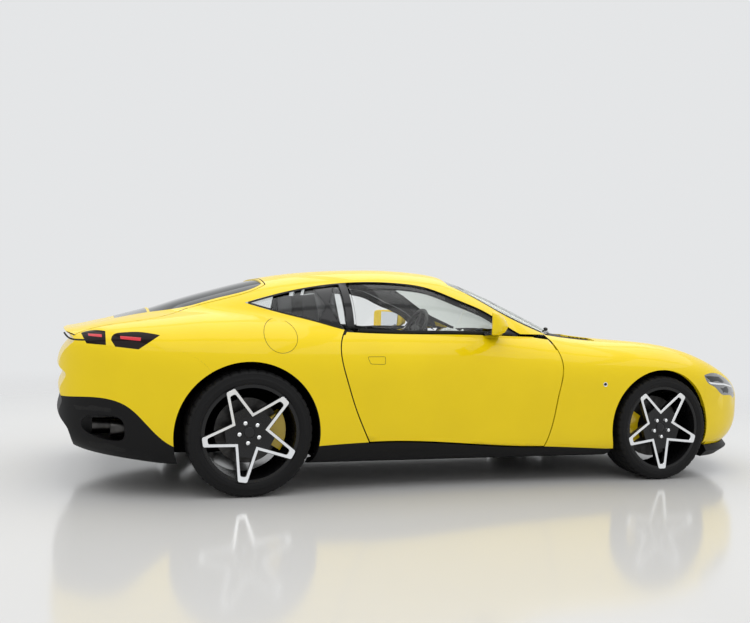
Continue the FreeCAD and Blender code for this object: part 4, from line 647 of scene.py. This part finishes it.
def shifted(xz, distance):
    """An outline run moved to its left, as it runs."""
    tangents = np.gradient(xz, axis=0)
    tangents /= np.linalg.norm(tangents, axis=1, keepdims=True)
    return xz + np.stack([-tangents[:, 1], tangents[:, 0]], 1) * distance


# Wheels
TYRES = {"front": (0.333, 0.245), "rear": (0.344, 0.285)}
TRACKS = {"front": 1.652, "rear": 1.679}
# out of the spoke tips and of the hub from the wheel's middle, and the first arm's angle
FACES = {"front": (0.114, 0.091, -160.9), "rear": (0.143, 0.082, -170.9)}
CORNERS = {
    "front_right": ("front", -1), "front_left": ("front", 1),
    "rear_right": ("rear", -1), "rear_left": ("rear", 1),
}
ARMS = 5
ARM_TURN = 2 * math.pi / ARMS
RIM_LIP = 0.266
BEAD_IN = 0.018
STAR_TIP, STAR_ROOT, STAR_HALF = 0.262, 0.108, 0.028
STAR_EDGE, STAR_TIP_EDGE = 0.0165, 0.030
STAR_LIFT = 0.0008
TIP_ROUND = 0.012
ROOT_SHARE = 0.98
HUB_PAD = 0.084
BOLT_CIRCLE = 0.05715
TREAD_STEPS = 252
TREAD_LEAN = 0.35
SHOULDER_EVERY, SHOULDER_CUT = 6, 0.0055
BOLT = [(0, 0.016), (0.0072, 0.016), (0.0108, 0.0135), (0.0114, 0.004), (0.0134, 0.001), (0.0134, -0.004)]
CAP = [(0, 0.0052), (0.018, 0.005), (0.0255, 0.0038), (0.029, 0.0018), (0.0305, -0.001)]
CAP_RING = [(0.0312, 0.0), (0.0318, 0.0022), (0.0335, 0.003), (0.0352, 0.0022), (0.0358, -0.0005)]


def hub(corner):
    """A wheel's middle."""
    axle, side = CORNERS[corner]
    x = FRONT_AXLE if axle == "front" else REAR_AXLE
    return np.array([x, side * TRACKS[axle] / 2, TYRES[axle][0]])


def wheel_place(corner, points):
    """Wheel points (ahead, up, outwards) at a corner of the car."""
    side = CORNERS[corner][1]
    points = np.array(points, float)
    return hub(corner) + np.stack([points[:, 0], side * points[:, 2], points[:, 1]], 1)


# side wall: up from the rim's lip, then down from the tread, each with its depth from the side
WALL_LOW = [
    (0.001, 0.0085), (0.004, 0.0055), (0.010, 0.003), (0.016, 0.0012), (0.0175, 0.0022),
    (0.024, 0.0002), (0.032, 0.0002), (0.0335, 0.0014), (0.042, 0.0024),
]
WALL_HIGH = [
    (0.0225, 0.0048), (0.0215, 0.0038), (0.0165, 0.0058), (0.011, 0.0088), (0.0065, 0.0135),
    (0.0033, 0.0205), (0.0016, 0.030),
]
GROOVES = (0.36, 0.12)
GROOVE = [(0.0003, 0.0065), (0.0072, 0.0050), (0.0072, -0.0050), (0.0001, -0.0065)]
SEAT_RADIUS = 0.2563


def tyre_profile(radius, width):
    """Outer half of the section, from the bead to the middle groove: (radius, out)."""
    half = width / 2
    bead = half - BEAD_IN
    wall = [(SEAT_RADIUS, bead - 0.004), (SEAT_RADIUS, bead), (RIM_LIP + 0.0006, bead)]
    wall += [(RIM_LIP + up, half - depth) for up, depth in WALL_LOW]
    wall += [(radius - down, half - depth) for down, depth in WALL_HIGH]
    tread = [(radius - 0.0008, half - 0.040)]
    for share in GROOVES:
        tread += [(radius - down, width * share + out) for down, out in GROOVE]
    return wall, tread


def make_tyre(corner):
    """A tyre with grooves round it and cuts across its shoulders."""
    radius, width = TYRES[CORNERS[corner][0]]
    wall, tread = tyre_profile(radius, width)
    right = wall + tread
    profile = right + [(r, -out) for r, out in reversed(right)]
    first_cut = len(wall) - 4
    last_cut = len(profile) - first_cut
    points = []
    for i in range(TREAD_STEPS):
        angle = 2 * math.pi * i / TREAD_STEPS
        for k, (r, out) in enumerate(profile):
            lean = angle + TREAD_LEAN * abs(out)
            shoulder = first_cut <= k < last_cut and abs(out) > width * 0.15
            if shoulder and (i + (2 if out > 0 else 0)) % SHOULDER_EVERY == 0:
                r -= SHOULDER_CUT
            points.append((r * math.cos(lean), r * math.sin(lean), out))
    faces = spun(TREAD_STEPS, len(profile))
    made = build("tread_" + corner, wheel_place(corner, points), faces, rubber, "tyre", "wheel_" + corner)
    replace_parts(made, "tyre_" + corner)


def face_out(axle, r):
    """How far out the star's face stands at a radius."""
    face, middle, phase = FACES[axle]
    if r <= HUB_PAD:
        return middle
    return middle + (r - HUB_PAD) / (STAR_TIP - HUB_PAD) * (face - middle)


def star_outline(axle, inset=0.0, tip_inset=0.0, steps=5):
    """Outline of the star's front, its tips rounded, as plane points."""
    phase = math.radians(FACES[axle][2])
    turn = ARM_TURN / 2
    slope = (STAR_ROOT * math.sin(turn) - STAR_HALF) / (STAR_TIP - STAR_ROOT * math.cos(turn))
    lean = math.atan(slope)
    tip = STAR_TIP - tip_inset
    half = STAR_HALF + slope * tip_inset - inset / math.cos(lean)
    ease = min(TIP_ROUND, half * 0.8)
    root = STAR_ROOT - inset / math.sin(turn + lean) * ROOT_SHARE
    bend = [math.pi / 2 * step / steps for step in range(steps + 1)]
    tip_arc = [(tip - ease + ease * math.sin(a), half - ease + ease * math.cos(a)) for a in bend]
    arm_points = [(x, -y) for x, y in tip_arc] + list(reversed(tip_arc))
    points = []
    for arm in range(ARMS):
        middle = phase + ARM_TURN * arm
        c, s = math.cos(middle), math.sin(middle)
        points += [(x * c - y * s, x * s + y * c) for x, y in arm_points]
        valley = middle + turn
        points.append((root * math.cos(valley), root * math.sin(valley)))
    return np.array(points)


def make_star(corner):
    """Machined edge of the star, wheel bolts, cap and its ring."""
    axle, side = CORNERS[corner]
    turn = -side
    body = "wheel_" + corner
    ease = 0.0012
    rings = [
        (star_outline(axle), -STAR_LIFT), (star_outline(axle, ease, ease), STAR_LIFT),
        (star_outline(axle, STAR_EDGE - 0.001, STAR_TIP_EDGE - ease), STAR_LIFT),
        (star_outline(axle, STAR_EDGE, STAR_TIP_EDGE), -STAR_LIFT),
    ]
    points = [
        (turn * x, y, face_out(axle, math.hypot(x, y)) + lift) for ring, lift in rings for x, y in ring]
    faces = bridged(len(rings), len(rings[0][0]))
    build("star_edge_" + corner, wheel_place(corner, points), faces, bright, "wheel", body)
    middle = FACES[axle][1]
    bolt, bolt_faces = lathe(BOLT, 24)
    points, faces = [], []
    for arm in range(ARMS):
        angle = math.radians(FACES[axle][2]) + ARM_TURN * arm
        x, y = BOLT_CIRCLE * math.cos(angle), BOLT_CIRCLE * math.sin(angle)
        faces += [tuple(i + len(points) for i in face) for face in bolt_faces]
        points += list(bolt + (turn * x, y, middle))
    build("bolts_" + corner, wheel_place(corner, points), faces, bright, "wheel", body)
    for name, profile in (("cap_", CAP), ("cap_ring_", CAP_RING)):
        points, faces = lathe(profile, 48)
        build(name + corner, wheel_place(corner, points + (0, 0, middle)), faces, gloss_black, "wheel", body)


for corner in CORNERS:
    make_tyre(corner)
    make_star(corner)


# Side details
LINE = flat_bar(0.0022, -0.0015, 0.0003)
HANDLE = [(-0.646, 0.764), (-0.537, 0.766), (-0.540, 0.722), (-0.630, 0.724)]
FUEL_FLAP = (-1.1436, 0.873, 0.094)
SIDE_LAMP = (0.9184, 0.613)
SIDE_LAMP_RING = [
    (0.0095, -0.002), (0.0100, 0.0022), (0.0118, 0.0034), (0.0142, 0.0030), (0.0152, 0.0012),
    (0.0156, -0.003),
]
SIDE_LAMP_LENS = [(0, 0.0022), (0.005, 0.0020), (0.0097, 0.0008)]


def arc(x, z, reach, angles, foot=-1.0):
    """Places (x, z) on an arc, none lower than a foot."""
    return np.stack([x + reach * np.cos(angles), np.maximum(z + reach * np.sin(angles), foot)], 1)


def rounded(corners, radius, steps=6):
    """A polygon of (x, z) with rounded corners."""
    corners = np.array(corners, float)
    made = []
    for i, spot in enumerate(corners):
        before, after = corners[i - 1] - spot, corners[(i + 1) % len(corners)] - spot
        before /= np.linalg.norm(before)
        after /= np.linalg.norm(after)
        for step in range(steps + 1):
            t = step / steps
            made.append(spot + before * radius * (1 - t) ** 2 + after * radius * t ** 2)
    return np.array(made)


def dense(points, spacing):
    """More points along a closed outline."""
    made = []
    for a, b in zip(points, np.roll(points, -1, 0)):
        count = max(1, int(np.linalg.norm(b - a) / spacing))
        made += [a + (b - a) * i / count for i in range(count)]
    return np.array(made)


for side, word in SIDES:
    handle = dense(rounded(HANDLE, 0.010), 0.012)
    skin_strip("handle_line_" + word, handle, lower_radius, LINE, gap, side, "door_" + word, True)
    if word == "right":
        ring = arc(*FUEL_FLAP, np.linspace(0, 2 * np.pi, 72, endpoint=False))
        skin_strip("fuel_lid_line", ring, rear_radius, LINE, gap, side, closed=True)
    spot = on_side([SIDE_LAMP], lower_radius, 0.0, side)
    out = skin_normals(lower_radius, spot)[0]
    ring = placed(lathe(SIDE_LAMP_RING, 48), spot[0], out)
    build("side_lamp_ring_" + word, *ring, chrome, "wheel")
    lens = placed(lathe(SIDE_LAMP_LENS, 48), spot[0], out)
    build("side_lamp_lens_" + word, *lens, gloss_black, "gloss_black")


# Wheel arches: dark lips that close the panels against the liners
ARCHES = {
    "front": (FRONT_AXLE - 0.012, 0.333, 0.374, 0.414, lower_radius, 0.029, -18),
    "rear": (REAR_AXLE - 0.010, 0.335, 0.397, 0.438, rear_radius, 0.056, -14),
}
LIP_WALL, LIP_INNER = 0.0285, 0.034
LIP_FOOT = 0.20
for axle, (x, z, near, far, radius, deep, low) in ARCHES.items():
    angles = np.linspace(math.radians(low), math.pi - math.radians(low), 90)
    section = [
        (near, LIP_WALL), (near, LIP_INNER), (far, deep), (far + 0.002, deep - 0.006),
        (near + 0.003, LIP_WALL)]
    for side, word in SIDES:
        rows = [
            on_side(arc(x, z, reach, angles, LIP_FOOT), inset(radius, wall), 0.0, side)
            for reach, wall in section]
        build("arch_lip_%s_%s" % (axle, word), *lofted(rows), felt, "underbody")


# Window trim
WINDOW_HEAD = [
    (0.283, 0.698), (0.234, 0.723), (0.128, 0.795), (-0.025, 0.859),
    (-0.151, 0.908), (-0.276, 0.925), (-0.374, 0.927), (-0.604, 0.909),
    (-0.829, 0.861), (-0.995, 0.808),
]
BELT = [(0.283, 0.698), (-0.009, 0.701), (-0.333, 0.697), (-0.586, 0.701)]
BELT_REAR = [(-0.586, 0.701), (-0.695, 0.729), (-0.845, 0.765), (-0.995, 0.808)]
head = natural(metres(WINDOW_HEAD), 160)
belt = natural(metres(BELT), 90)
belt_rear = natural(metres(BELT_REAR), 60)
GLASS_REAR = along(-0.531)
GLASS_REST = 0.0079
SEAL_ROWS = [(0.0008, 0.0235), (0.0008, 0.001), (0.002, -0.0004), (0.0036, 0.001), (0.0044, 0.0235)]
REAR_SEAL_ROWS = [(0.0008, 0.0075), (0.0008, 0.001), (0.002, -0.0004), (0.009, 0.001), (0.011, 0.0075)]
REAR_BELT_ROWS = [(-shift, wall) for shift, wall in REAR_SEAL_ROWS]
BAND_ROWS = [(0.0062, GLASS_REST), (0.0062, 0.0074), (0.047, 0.0074), (0.047, GLASS_REST)]
BELT_ROWS = [(0.004, 0.0077), (0.004, 0.0005), (-0.002, -0.0008), (-0.011, 0.0005), (-0.012, 0.0077)]
# the tops of the doors' inner trim
INNER_BELT_ROWS = [
    (0.006, 0.018), (-0.004, 0.024), (-0.004, 0.062), (0.02, 0.080),
    (0.100, 0.084), (0.100, 0.078), (0.024, 0.072), (0.008, 0.056),
]
# name, run, from and to along the car, rows, finish
RIBBONS = [
    ("head_seal_", head, GLASS_REAR, along(0.276), SEAL_ROWS, seal),
    ("head_seal_rear_", head, along(-0.985), GLASS_REAR, REAR_SEAL_ROWS, seal),
    ("glass_band_", head, GLASS_REAR + 0.010, along(0.270), BAND_ROWS, seal),
    ("belt_band_", belt, GLASS_REAR + 0.012, along(0.240), BELT_ROWS, seal),
    ("belt_seal_rear_", belt_rear, along(-0.985), along(-0.592), REAR_BELT_ROWS, seal),
    ("door_top_", belt, GLASS_REAR + 0.012, along(0.27), INNER_BELT_ROWS, cabin_skin),
]
ON_DOORS = ("glass_band_", "belt_band_", "door_top_", "sail_")


def body_of(name, word):
    """The body that a side piece rides on."""
    return "door_" + word if name in ON_DOORS else "body_shell"


for side, word in SIDES:
    for name, run, low, high, rows, finish in RIBBONS:
        part = run[(run[:, 0] >= low) & (run[:, 0] <= high)]
        made = [on_side(shifted(part, shift), inset(upper_radius, wall), 0.0, side) for shift, wall in rows]
        slot = "gloss_black" if finish is seal else "cabin"
        build(name + word, *lofted(made, True), finish, slot, body_of(name, word))


# Lamps
CROWN_EASE = 0.0008


def plate(name, outline, radius, low, high, finish, slot, body, side):
    """A patch that follows the skin, from a side outline (x, z)."""
    outline = np.array(outline)
    middle = outline.mean(axis=0)
    rings = [(1.0, low), (1.0, high - CROWN_EASE), (0.985, high), (0.66, high), (0.33, high)]
    stacks = [
        on_side(middle + (outline - middle) * share, radius, lift, side) for share, lift in rings]
    points = np.vstack(stacks + [on_side([middle], radius, high, side)])
    size = len(outline)
    faces = bridged(len(rings), size)
    last = (len(rings) - 1) * size
    faces += [(last + i, last + (i + 1) % size, len(points) - 1) for i in range(size)]
    return build(name, points, faces, finish, slot, body)


HEAD_BAR = [
    (1.379, 0.4856), (1.406, 0.4823), (1.49, 0.476), (1.592, 0.4704), (1.7, 0.455),
    (1.71, 0.447), (1.589, 0.4632), (1.489, 0.4679), (1.411, 0.4725),
]
HEAD_UPPER = [
    (1.354, 0.5123), (1.41, 0.5125), (1.525, 0.5072), (1.579, 0.4835), (1.569, 0.4762),
    (1.411, 0.4832), (1.401, 0.4937),
]
HEAD_LOWER = [
    (1.43, 0.4636), (1.489, 0.4594), (1.614, 0.4547), (1.668, 0.4244), (1.655, 0.4093),
    (1.565, 0.4238), (1.5, 0.445),
]
HEAD_MARKER = [(1.698, 0.423), (1.74, 0.418), (1.775, 0.3948), (1.703, 0.4016)]
TAIL_OUTER_BAR = [(-1.668, 0.654), (-1.565, 0.6503), (-1.567, 0.6365), (-1.665, 0.6422)]
TAIL_INNER_BAR = [(-1.826, 0.6585), (-1.757, 0.6581), (-1.755, 0.6465), (-1.822, 0.6498)]
SLOT_HIGH = [
    (-1.886, 0.3658), (-1.792, 0.3704), (-1.698, 0.3623), (-1.7, 0.3461), (-1.791, 0.3489),
    (-1.869, 0.3476),
]
SLOT_LOW = [
    (-1.806, 0.2218), (-1.708, 0.2202), (-1.619, 0.1958), (-1.626, 0.1856), (-1.72, 0.1927),
    (-1.792, 0.206),
]
UNDER_LIP = [(-1.947, 0.6578), (-1.92, 0.6383), (-1.873, 0.6322), (-1.821, 0.6335)]
PILLAR = [(-0.598, 0.712), (-0.69, 0.735), (-0.69, 0.885), (-0.598, 0.9)]
SAIL = [(0.268, 0.7005), (0.13, 0.7025), (0.2, 0.732), (0.23, 0.7205)]
ON_GLASS = inset(upper_radius, GLASS_REST)
# name, outline, rounding, skin, low, high, finish, slot
PLATES = [
    ("head_bar_", HEAD_BAR, 0.004, lower_radius, -0.001, 0.0012, lamp_white, "lamp"),
    ("head_upper_", HEAD_UPPER, 0.004, lower_radius, -0.001, 0.0009, lamp_cell, "lamp"),
    ("head_lower_", HEAD_LOWER, 0.004, lower_radius, -0.001, 0.0009, lamp_cell, "lamp"),
    ("head_marker_", HEAD_MARKER, 0.004, lower_radius, -0.001, 0.0009, lamp_amber, "lamp"),
    ("slot_high_", SLOT_HIGH, 0.008, rear_radius, -0.002, 0.0008, gap, "trim"),
    ("slot_low_", SLOT_LOW, 0.008, rear_radius, -0.002, 0.0008, gap, "trim"),
    ("sail_", SAIL, 0.004, ON_GLASS, -0.0004, 0.0016, gloss_black, "gloss_black"),
    ("pillar_panel_", PILLAR, 0.004, ON_GLASS, -0.0004, 0.0012, gloss_black, "gloss_black"),
    ("tail_bar_outer_", TAIL_OUTER_BAR, 0.003, rear_radius, -0.001, 0.0012, lamp_red, "tail_lamp"),
    ("tail_bar_inner_", TAIL_INNER_BAR, 0.003, rear_radius, -0.001, 0.0012, lamp_red, "tail_lamp"),
]
LIP_SHADOW = flat_bar(0.009, -0.002, 0.0006)
for side, word in SIDES:
    for name, outline, ease, radius, low, high, finish, slot in PLATES:
        outline = rounded(metres(outline), ease, 4)
        plate(name + word, outline, radius, low, high, finish, slot, body_of(name, word), side)
    lip = natural(metres(UNDER_LIP), 24)
    skin_strip("lip_shadow_" + word, lip, rear_radius, LIP_SHADOW, gap, side)


# Bands round the windscreen's sides, and wipers
SCREEN_SIDE = [(0.43, 0.722), (0.322, 0.719), (0.204, 0.692), (0.072, 0.616), (-0.015, 0.547)]
SCREEN_ROWS = [(0.001, GLASS_REST), (0.001, 0.0073), (0.032, 0.0073), (0.032, GLASS_REST)]
screen_side = natural(metres(SCREEN_SIDE, HALF_WIDTH), 60)
for side, word in SIDES:
    rows = [on_top(shifted(screen_side, shift), inset(upper_radius, wall)) for shift, wall in SCREEN_ROWS]
    points, faces = lofted(rows, True)
    build("screen_band_" + word, points * (1, side, 1), faces, seal, "gloss_black")
WIPERS = {
    "right": [(0.665, -0.02), (0.6, -0.36), (0.47, -0.64)],
    "left": [(0.60, 0.52), (0.655, 0.28), (0.668, 0.02)],
}
WIPER_LIFT = 0.0035
BLADE = flat_bar(0.013, -0.0045, 0.006, 0.003)
for word, run in WIPERS.items():
    points = on_top(natural(metres(run, HALF_WIDTH), 40), upper_radius, WIPER_LIFT)
    blade = bar(points, BLADE, skin_normals(upper_radius, points))
    build("wiper_" + word, *blade, satin, "trim")


# Mirrors: wedge housings with a glass behind and a foot on the door
MIRROR_OUTLINE = [
    (0.0, 0.5), (0.0, -0.5), (0.4, -0.49), (0.82, -0.36), (1.0, -0.1), (0.74, 0.2), (0.36, 0.43)]
# out, rear and front of the housing, and its share of the full height
MIRROR_SECTIONS = [
    (0.790, 0.203, 0.222, 0.3), (0.794, 0.196, 0.229, 0.5), (0.806, 0.190, 0.2335, 0.68),
    (0.84, 0.176, 0.2355, 0.84), (0.89, 0.151, 0.2355, 0.93), (0.94, 0.125, 0.229, 0.98),
    (0.99, 0.099, 0.208, 1.0), (1.03, 0.078, 0.180, 0.99), (1.06, 0.064, 0.146, 0.95),
    (1.076, 0.057, 0.118, 0.87), (1.083, 0.055, 0.094, 0.72), (1.086, 0.056, 0.074, 0.4),
]
MIRROR_MIDDLE, MIRROR_TALL = 0.977, 0.145
MIRROR_PANE = [
    (0.842, -0.050), (0.836, 0.046), (0.90, 0.055), (1.045, 0.060), (1.055, -0.058), (0.93, -0.058)]
PANE_RINGS = [(1.0, 0.0006), (1.0, -0.0008), (0.96, -0.0012), (0.0, -0.0012)]
PANE_BACK = ([0.806, 1.076], [0.190, 0.057])
PANE_LEAN = (0.9, 0.45)
# out, rear, front, low and high of the foot
MIRROR_FOOT = [
    (0.80, 0.115, 0.236, 0.894, 0.906), (0.83, 0.13, 0.236, 0.898, 0.922),
    (0.875, 0.15, 0.225, 0.904, 0.936), (0.90, 0.16, 0.215, 0.910, 0.94),
]


def make_mirror(side, word):
    """A housing in place of the node's, its glass, and its foot on the door."""
    body = "door_" + word
    outline = rounded(MIRROR_OUTLINE, 0.09)
    points = [
        (rear + (front - rear) * x, side * y, MIRROR_MIDDLE + MIRROR_TALL * z * grow)
        for y, rear, front, grow in MIRROR_SECTIONS for x, z in outline]
    faces = bridged(len(MIRROR_SECTIONS), len(outline), True)
    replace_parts(build("mirror_housing_" + word, points, faces, paint, "paint", body), "mirror_" + word)
    rim = rounded(MIRROR_PANE, 0.012)
    middle = rim.mean(axis=0)
    points = []
    for share, depth in PANE_RINGS:
        for y, z in middle + (rim - middle) * share:
            rear = np.interp(y, *PANE_BACK)
            points.append((
                rear + depth * PANE_LEAN[0], side * (y - depth * PANE_LEAN[1]), MIRROR_MIDDLE + z))
    faces = bridged(len(PANE_RINGS), len(rim))
    build("mirror_glass_" + word, points, faces, mirror_glass, "gloss_black", body)
    points = []
    for y, x0, x1, z0, z1 in MIRROR_FOOT:
        points += [(x, side * y, z) for x, z in ((x0, z0), (x1, z0), (x1 - 0.02, z1), (x0 + 0.01, z1))]
    build("mirror_foot_" + word, points, bridged(4, 4, True), gloss_black, "gloss_black", body)


for side, word in SIDES:
    make_mirror(side, word)


# Seats: padded cushions, bolsters and headrests
SEAT_MIDDLE = 0.385
PAD_TURNS, PAD_RINGS = 40, 20
PAD_DOME, PAD_SPREAD = 0.9, 0.55


def signed_power(value, power):
    """A power that keeps the sign, for rounded boxes."""
    return math.copysign(abs(value) ** power, value)


def pad(name, middle, run, half, power):
    """A crowned closed form. run is its long direction in the XZ plane."""
    run = np.array([run[0], 0, run[1]], float)
    run /= np.linalg.norm(run)
    across = np.array([0, 1.0, 0])
    out = np.cross(across, run)
    points = []
    for k in range(PAD_RINGS + 1):
        tilt = -math.pi / 2 + math.pi * k / PAD_RINGS
        c = signed_power(math.sin(tilt), PAD_DOME) * half[2]
        spread = abs(math.cos(tilt)) ** PAD_SPREAD
        for i in range(PAD_TURNS):
            turn = 2 * math.pi * i / PAD_TURNS
            a = signed_power(math.cos(turn), 2 / power) * spread * half[0]
            b = signed_power(math.sin(turn), 2 / power) * spread * half[1]
            points.append(np.array(middle) + run * a + across * b + out * c)
    made = build(name, points, bridged(PAD_RINGS + 1, PAD_TURNS), leather, "seat")


# middle, direction of its length, half sizes and squareness; bolsters stand on both sides
PADS = {
    "cushion": ((-0.275, 0.0, 0.502), (-0.45, -0.125), (0.235, 0.150, 0.040), 4.5),
    "cushion_bolster": ((-0.285, 0.192, 0.512), (-0.45, -0.115), (0.225, 0.045, 0.058), 3.2),
    "back": ((-0.610, 0.0, 0.715), (-0.234, 0.567), (0.270, 0.140, 0.040), 4.5),
    "back_bolster": ((-0.590, 0.185, 0.690), (-0.225, 0.567), (0.235, 0.048, 0.062), 3.2),
    "headrest": ((-0.748, 0.0, 1.045), (-0.06, 0.2), (0.075, 0.125, 0.042), 3.4),
}
for side, word in SIDES:
    for part, ((x, aside, z), run, half, power) in PADS.items():
        for end, y in (("_out", aside), ("_in", -aside)) if aside else (("", 0.0),):
            middle = (x, side * (SEAT_MIDDLE + y), z)
            pad("seat_%s%s_%s" % (part, end, word), middle, run, half, power)


# The rims' outer lips: (radius, out beyond the tyre's bead)
LIP_PROFILE = [
    (0.2555, -0.010), (0.2562, 0.002), (0.2600, 0.0045), (0.2645, 0.0035), (0.2658, 0.0005),
    (0.2658, -0.004),
]
for corner, (axle, side) in CORNERS.items():
    bead = TYRES[axle][1] / 2 - BEAD_IN
    points, faces = lathe([(r, bead + out) for r, out in LIP_PROFILE], 120)
    build("rim_lip_" + corner, wheel_place(corner, points), faces, rim_black, "wheel", "wheel_" + corner)


# Wheelhouses: splash panels behind the wheels, and inner walls.
# x and z of the middle, reach, skin, angles of the splash panel, and the wall's distance out
WHEELHOUSES = {
    "rear": (*ARCHES["rear"][:2], 0.418, rear_radius, (152, 214), 0.605),
    "front": (*ARCHES["front"][:2], 0.392, lower_radius, (150, 206), 0.47),
}
SHEET = 0.003
SPLASH_WALL, SPLASH_FOOT, SPLASH_INNER = 0.030, 0.125, 0.55
WALL_FOOT = 0.19
for axle, (x, z, reach, radius, (low, high), y) in WHEELHOUSES.items():
    angles = np.radians(np.linspace(low, high, 30))
    rim = arc(x, z, reach, np.radians(np.linspace(-22, 202, 60)), WALL_FOOT)
    for side, word in SIDES:
        rows = []
        for r in (reach, reach + SHEET):
            edge = on_side(arc(x, z, r, angles, SPLASH_FOOT), inset(radius, SPLASH_WALL), 0.0, side)
            inner = np.stack([edge[:, 0], np.full(len(edge), side * SPLASH_INNER), edge[:, 2]], 1)
            rows += [edge, inner] if r == reach else [inner, edge]
        build("splash_%s_%s" % (axle, word), *lofted(rows, True), felt, "underbody")
        points = [(px, side * depth, pz) for depth in (y, y - SHEET) for px, pz in rim]
        faces = bridged(2, len(rim), True)
        build("wheelhouse_%s_%s" % (axle, word), points, faces, felt, "underbody", flat=True)


# Floor, light and camera
FLOOR_REACH = 40.0
FADE_FROM, FADE_TO = 3.4, 9.0
LAMP_SIZE, LAMP_POWER, LAMP_HEIGHT, LAMP_SPACING = (2.7, 2.6), 23, 3.6, 3.0
floor_mesh = bpy.data.meshes.new("floor")
floor_corners = [(x * FLOOR_REACH, y * FLOOR_REACH, 0) for x, y in ((-1, -1), (1, -1), (1, 1), (-1, 1))]
floor_mesh.from_pydata(floor_corners, [], [(0, 1, 2, 3)])
floor = bpy.data.objects.new("floor", floor_mesh)
bpy.context.scene.collection.objects.link(floor)
floor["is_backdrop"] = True
floor_finish = material("floor_gloss", (0.68, 0.68, 0.675), 0.12)
floor_mesh.materials.append(floor_finish)
tree = floor_finish.node_tree
join = tree.links.new
place = add_node(tree, "TexCoord")
span = add_node(tree, "VectorMath")
span.operation = "LENGTH"
fade = add_node(tree, "MapRange", From_Min=FADE_FROM, From_Max=FADE_TO)
fade.interpolation_type = "SMOOTHSTEP"
clear = add_node(tree, "BsdfTransparent")
mix = add_node(tree, "MixShader")
join(place.outputs["Object"], span.inputs[0])
join(span.outputs["Value"], fade.inputs["Value"])
join(fade.outputs["Result"], mix.inputs["Fac"])
join(tree.nodes["Principled BSDF"].outputs[0], mix.inputs[1])
join(clear.outputs[0], mix.inputs[2])
join(mix.outputs[0], tree.nodes["Material Output"].inputs["Surface"])

# the wall's own shade for what is seen, and a dimmer light for the rest
world = bpy.data.worlds.new("studio")
bpy.context.scene.world = world
world.use_nodes = True
tree = world.node_tree
join = tree.links.new
background = tree.nodes["Background"]
set_inputs(background, {"Color": (0.80, 0.80, 0.80, 1), "Strength": 0.88})
shown = add_node(tree, "Background", Color=(0.78, 0.79, 0.80, 1), Strength=1.0)
path = add_node(tree, "LightPath")
seen = path.outputs["Is Camera Ray"]
for kind in ("Is Transmission Ray", "Is Glossy Ray"):
    either = add_node(tree, "Math")
    either.operation = "MAXIMUM"
    join(seen, either.inputs[0])
    join(path.outputs[kind], either.inputs[1])
    seen = either.outputs[0]
mix = add_node(tree, "MixShader")
join(seen, mix.inputs["Fac"])
join(background.outputs[0], mix.inputs[1])
join(shown.outputs[0], mix.inputs[2])
join(mix.outputs[0], tree.nodes["World Output"].inputs["Surface"])

for row in range(4):
    for column in range(3):
        name = "ceiling_%d_%d" % (row, column)
        light = bpy.data.lights.new(name, "AREA")
        light.shape = "RECTANGLE"
        light.size, light.size_y = LAMP_SIZE
        light.energy = LAMP_POWER
        made = bpy.data.objects.new(name, light)
        made.location = ((row - 1.5) * LAMP_SPACING, (column - 1) * LAMP_SPACING, LAMP_HEIGHT)
        bpy.context.scene.collection.objects.link(made)

camera_data = bpy.data.cameras.new("camera")
camera_data.sensor_width = 36
camera_data.lens = 39.52
camera = bpy.data.objects.new("camera", camera_data)
bpy.context.scene.collection.objects.link(camera)
YAW, PITCH, ROLL = (math.radians(angle) for angle in (18.60, 0.12, 1.82))
CAMERA = Vector((-2.136 + SHIFT, -5.370, 1.013))
ahead = Vector((math.sin(YAW) * math.cos(PITCH), math.cos(YAW) * math.cos(PITCH), math.sin(PITCH)))
aside = Vector((math.cos(YAW), -math.sin(YAW), 0))
upward = aside.cross(ahead)
turned_side = math.cos(ROLL) * aside + math.sin(ROLL) * upward
turned_up = math.cos(ROLL) * upward - math.sin(ROLL) * aside
turned = Matrix((turned_side, turned_up, -ahead)).transposed()
camera.matrix_world = Matrix.Translation(CAMERA) @ turned.to_4x4()
bpy.context.scene.camera = camera
bpy.context.scene.view_settings.view_transform = "Standard"

low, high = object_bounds()
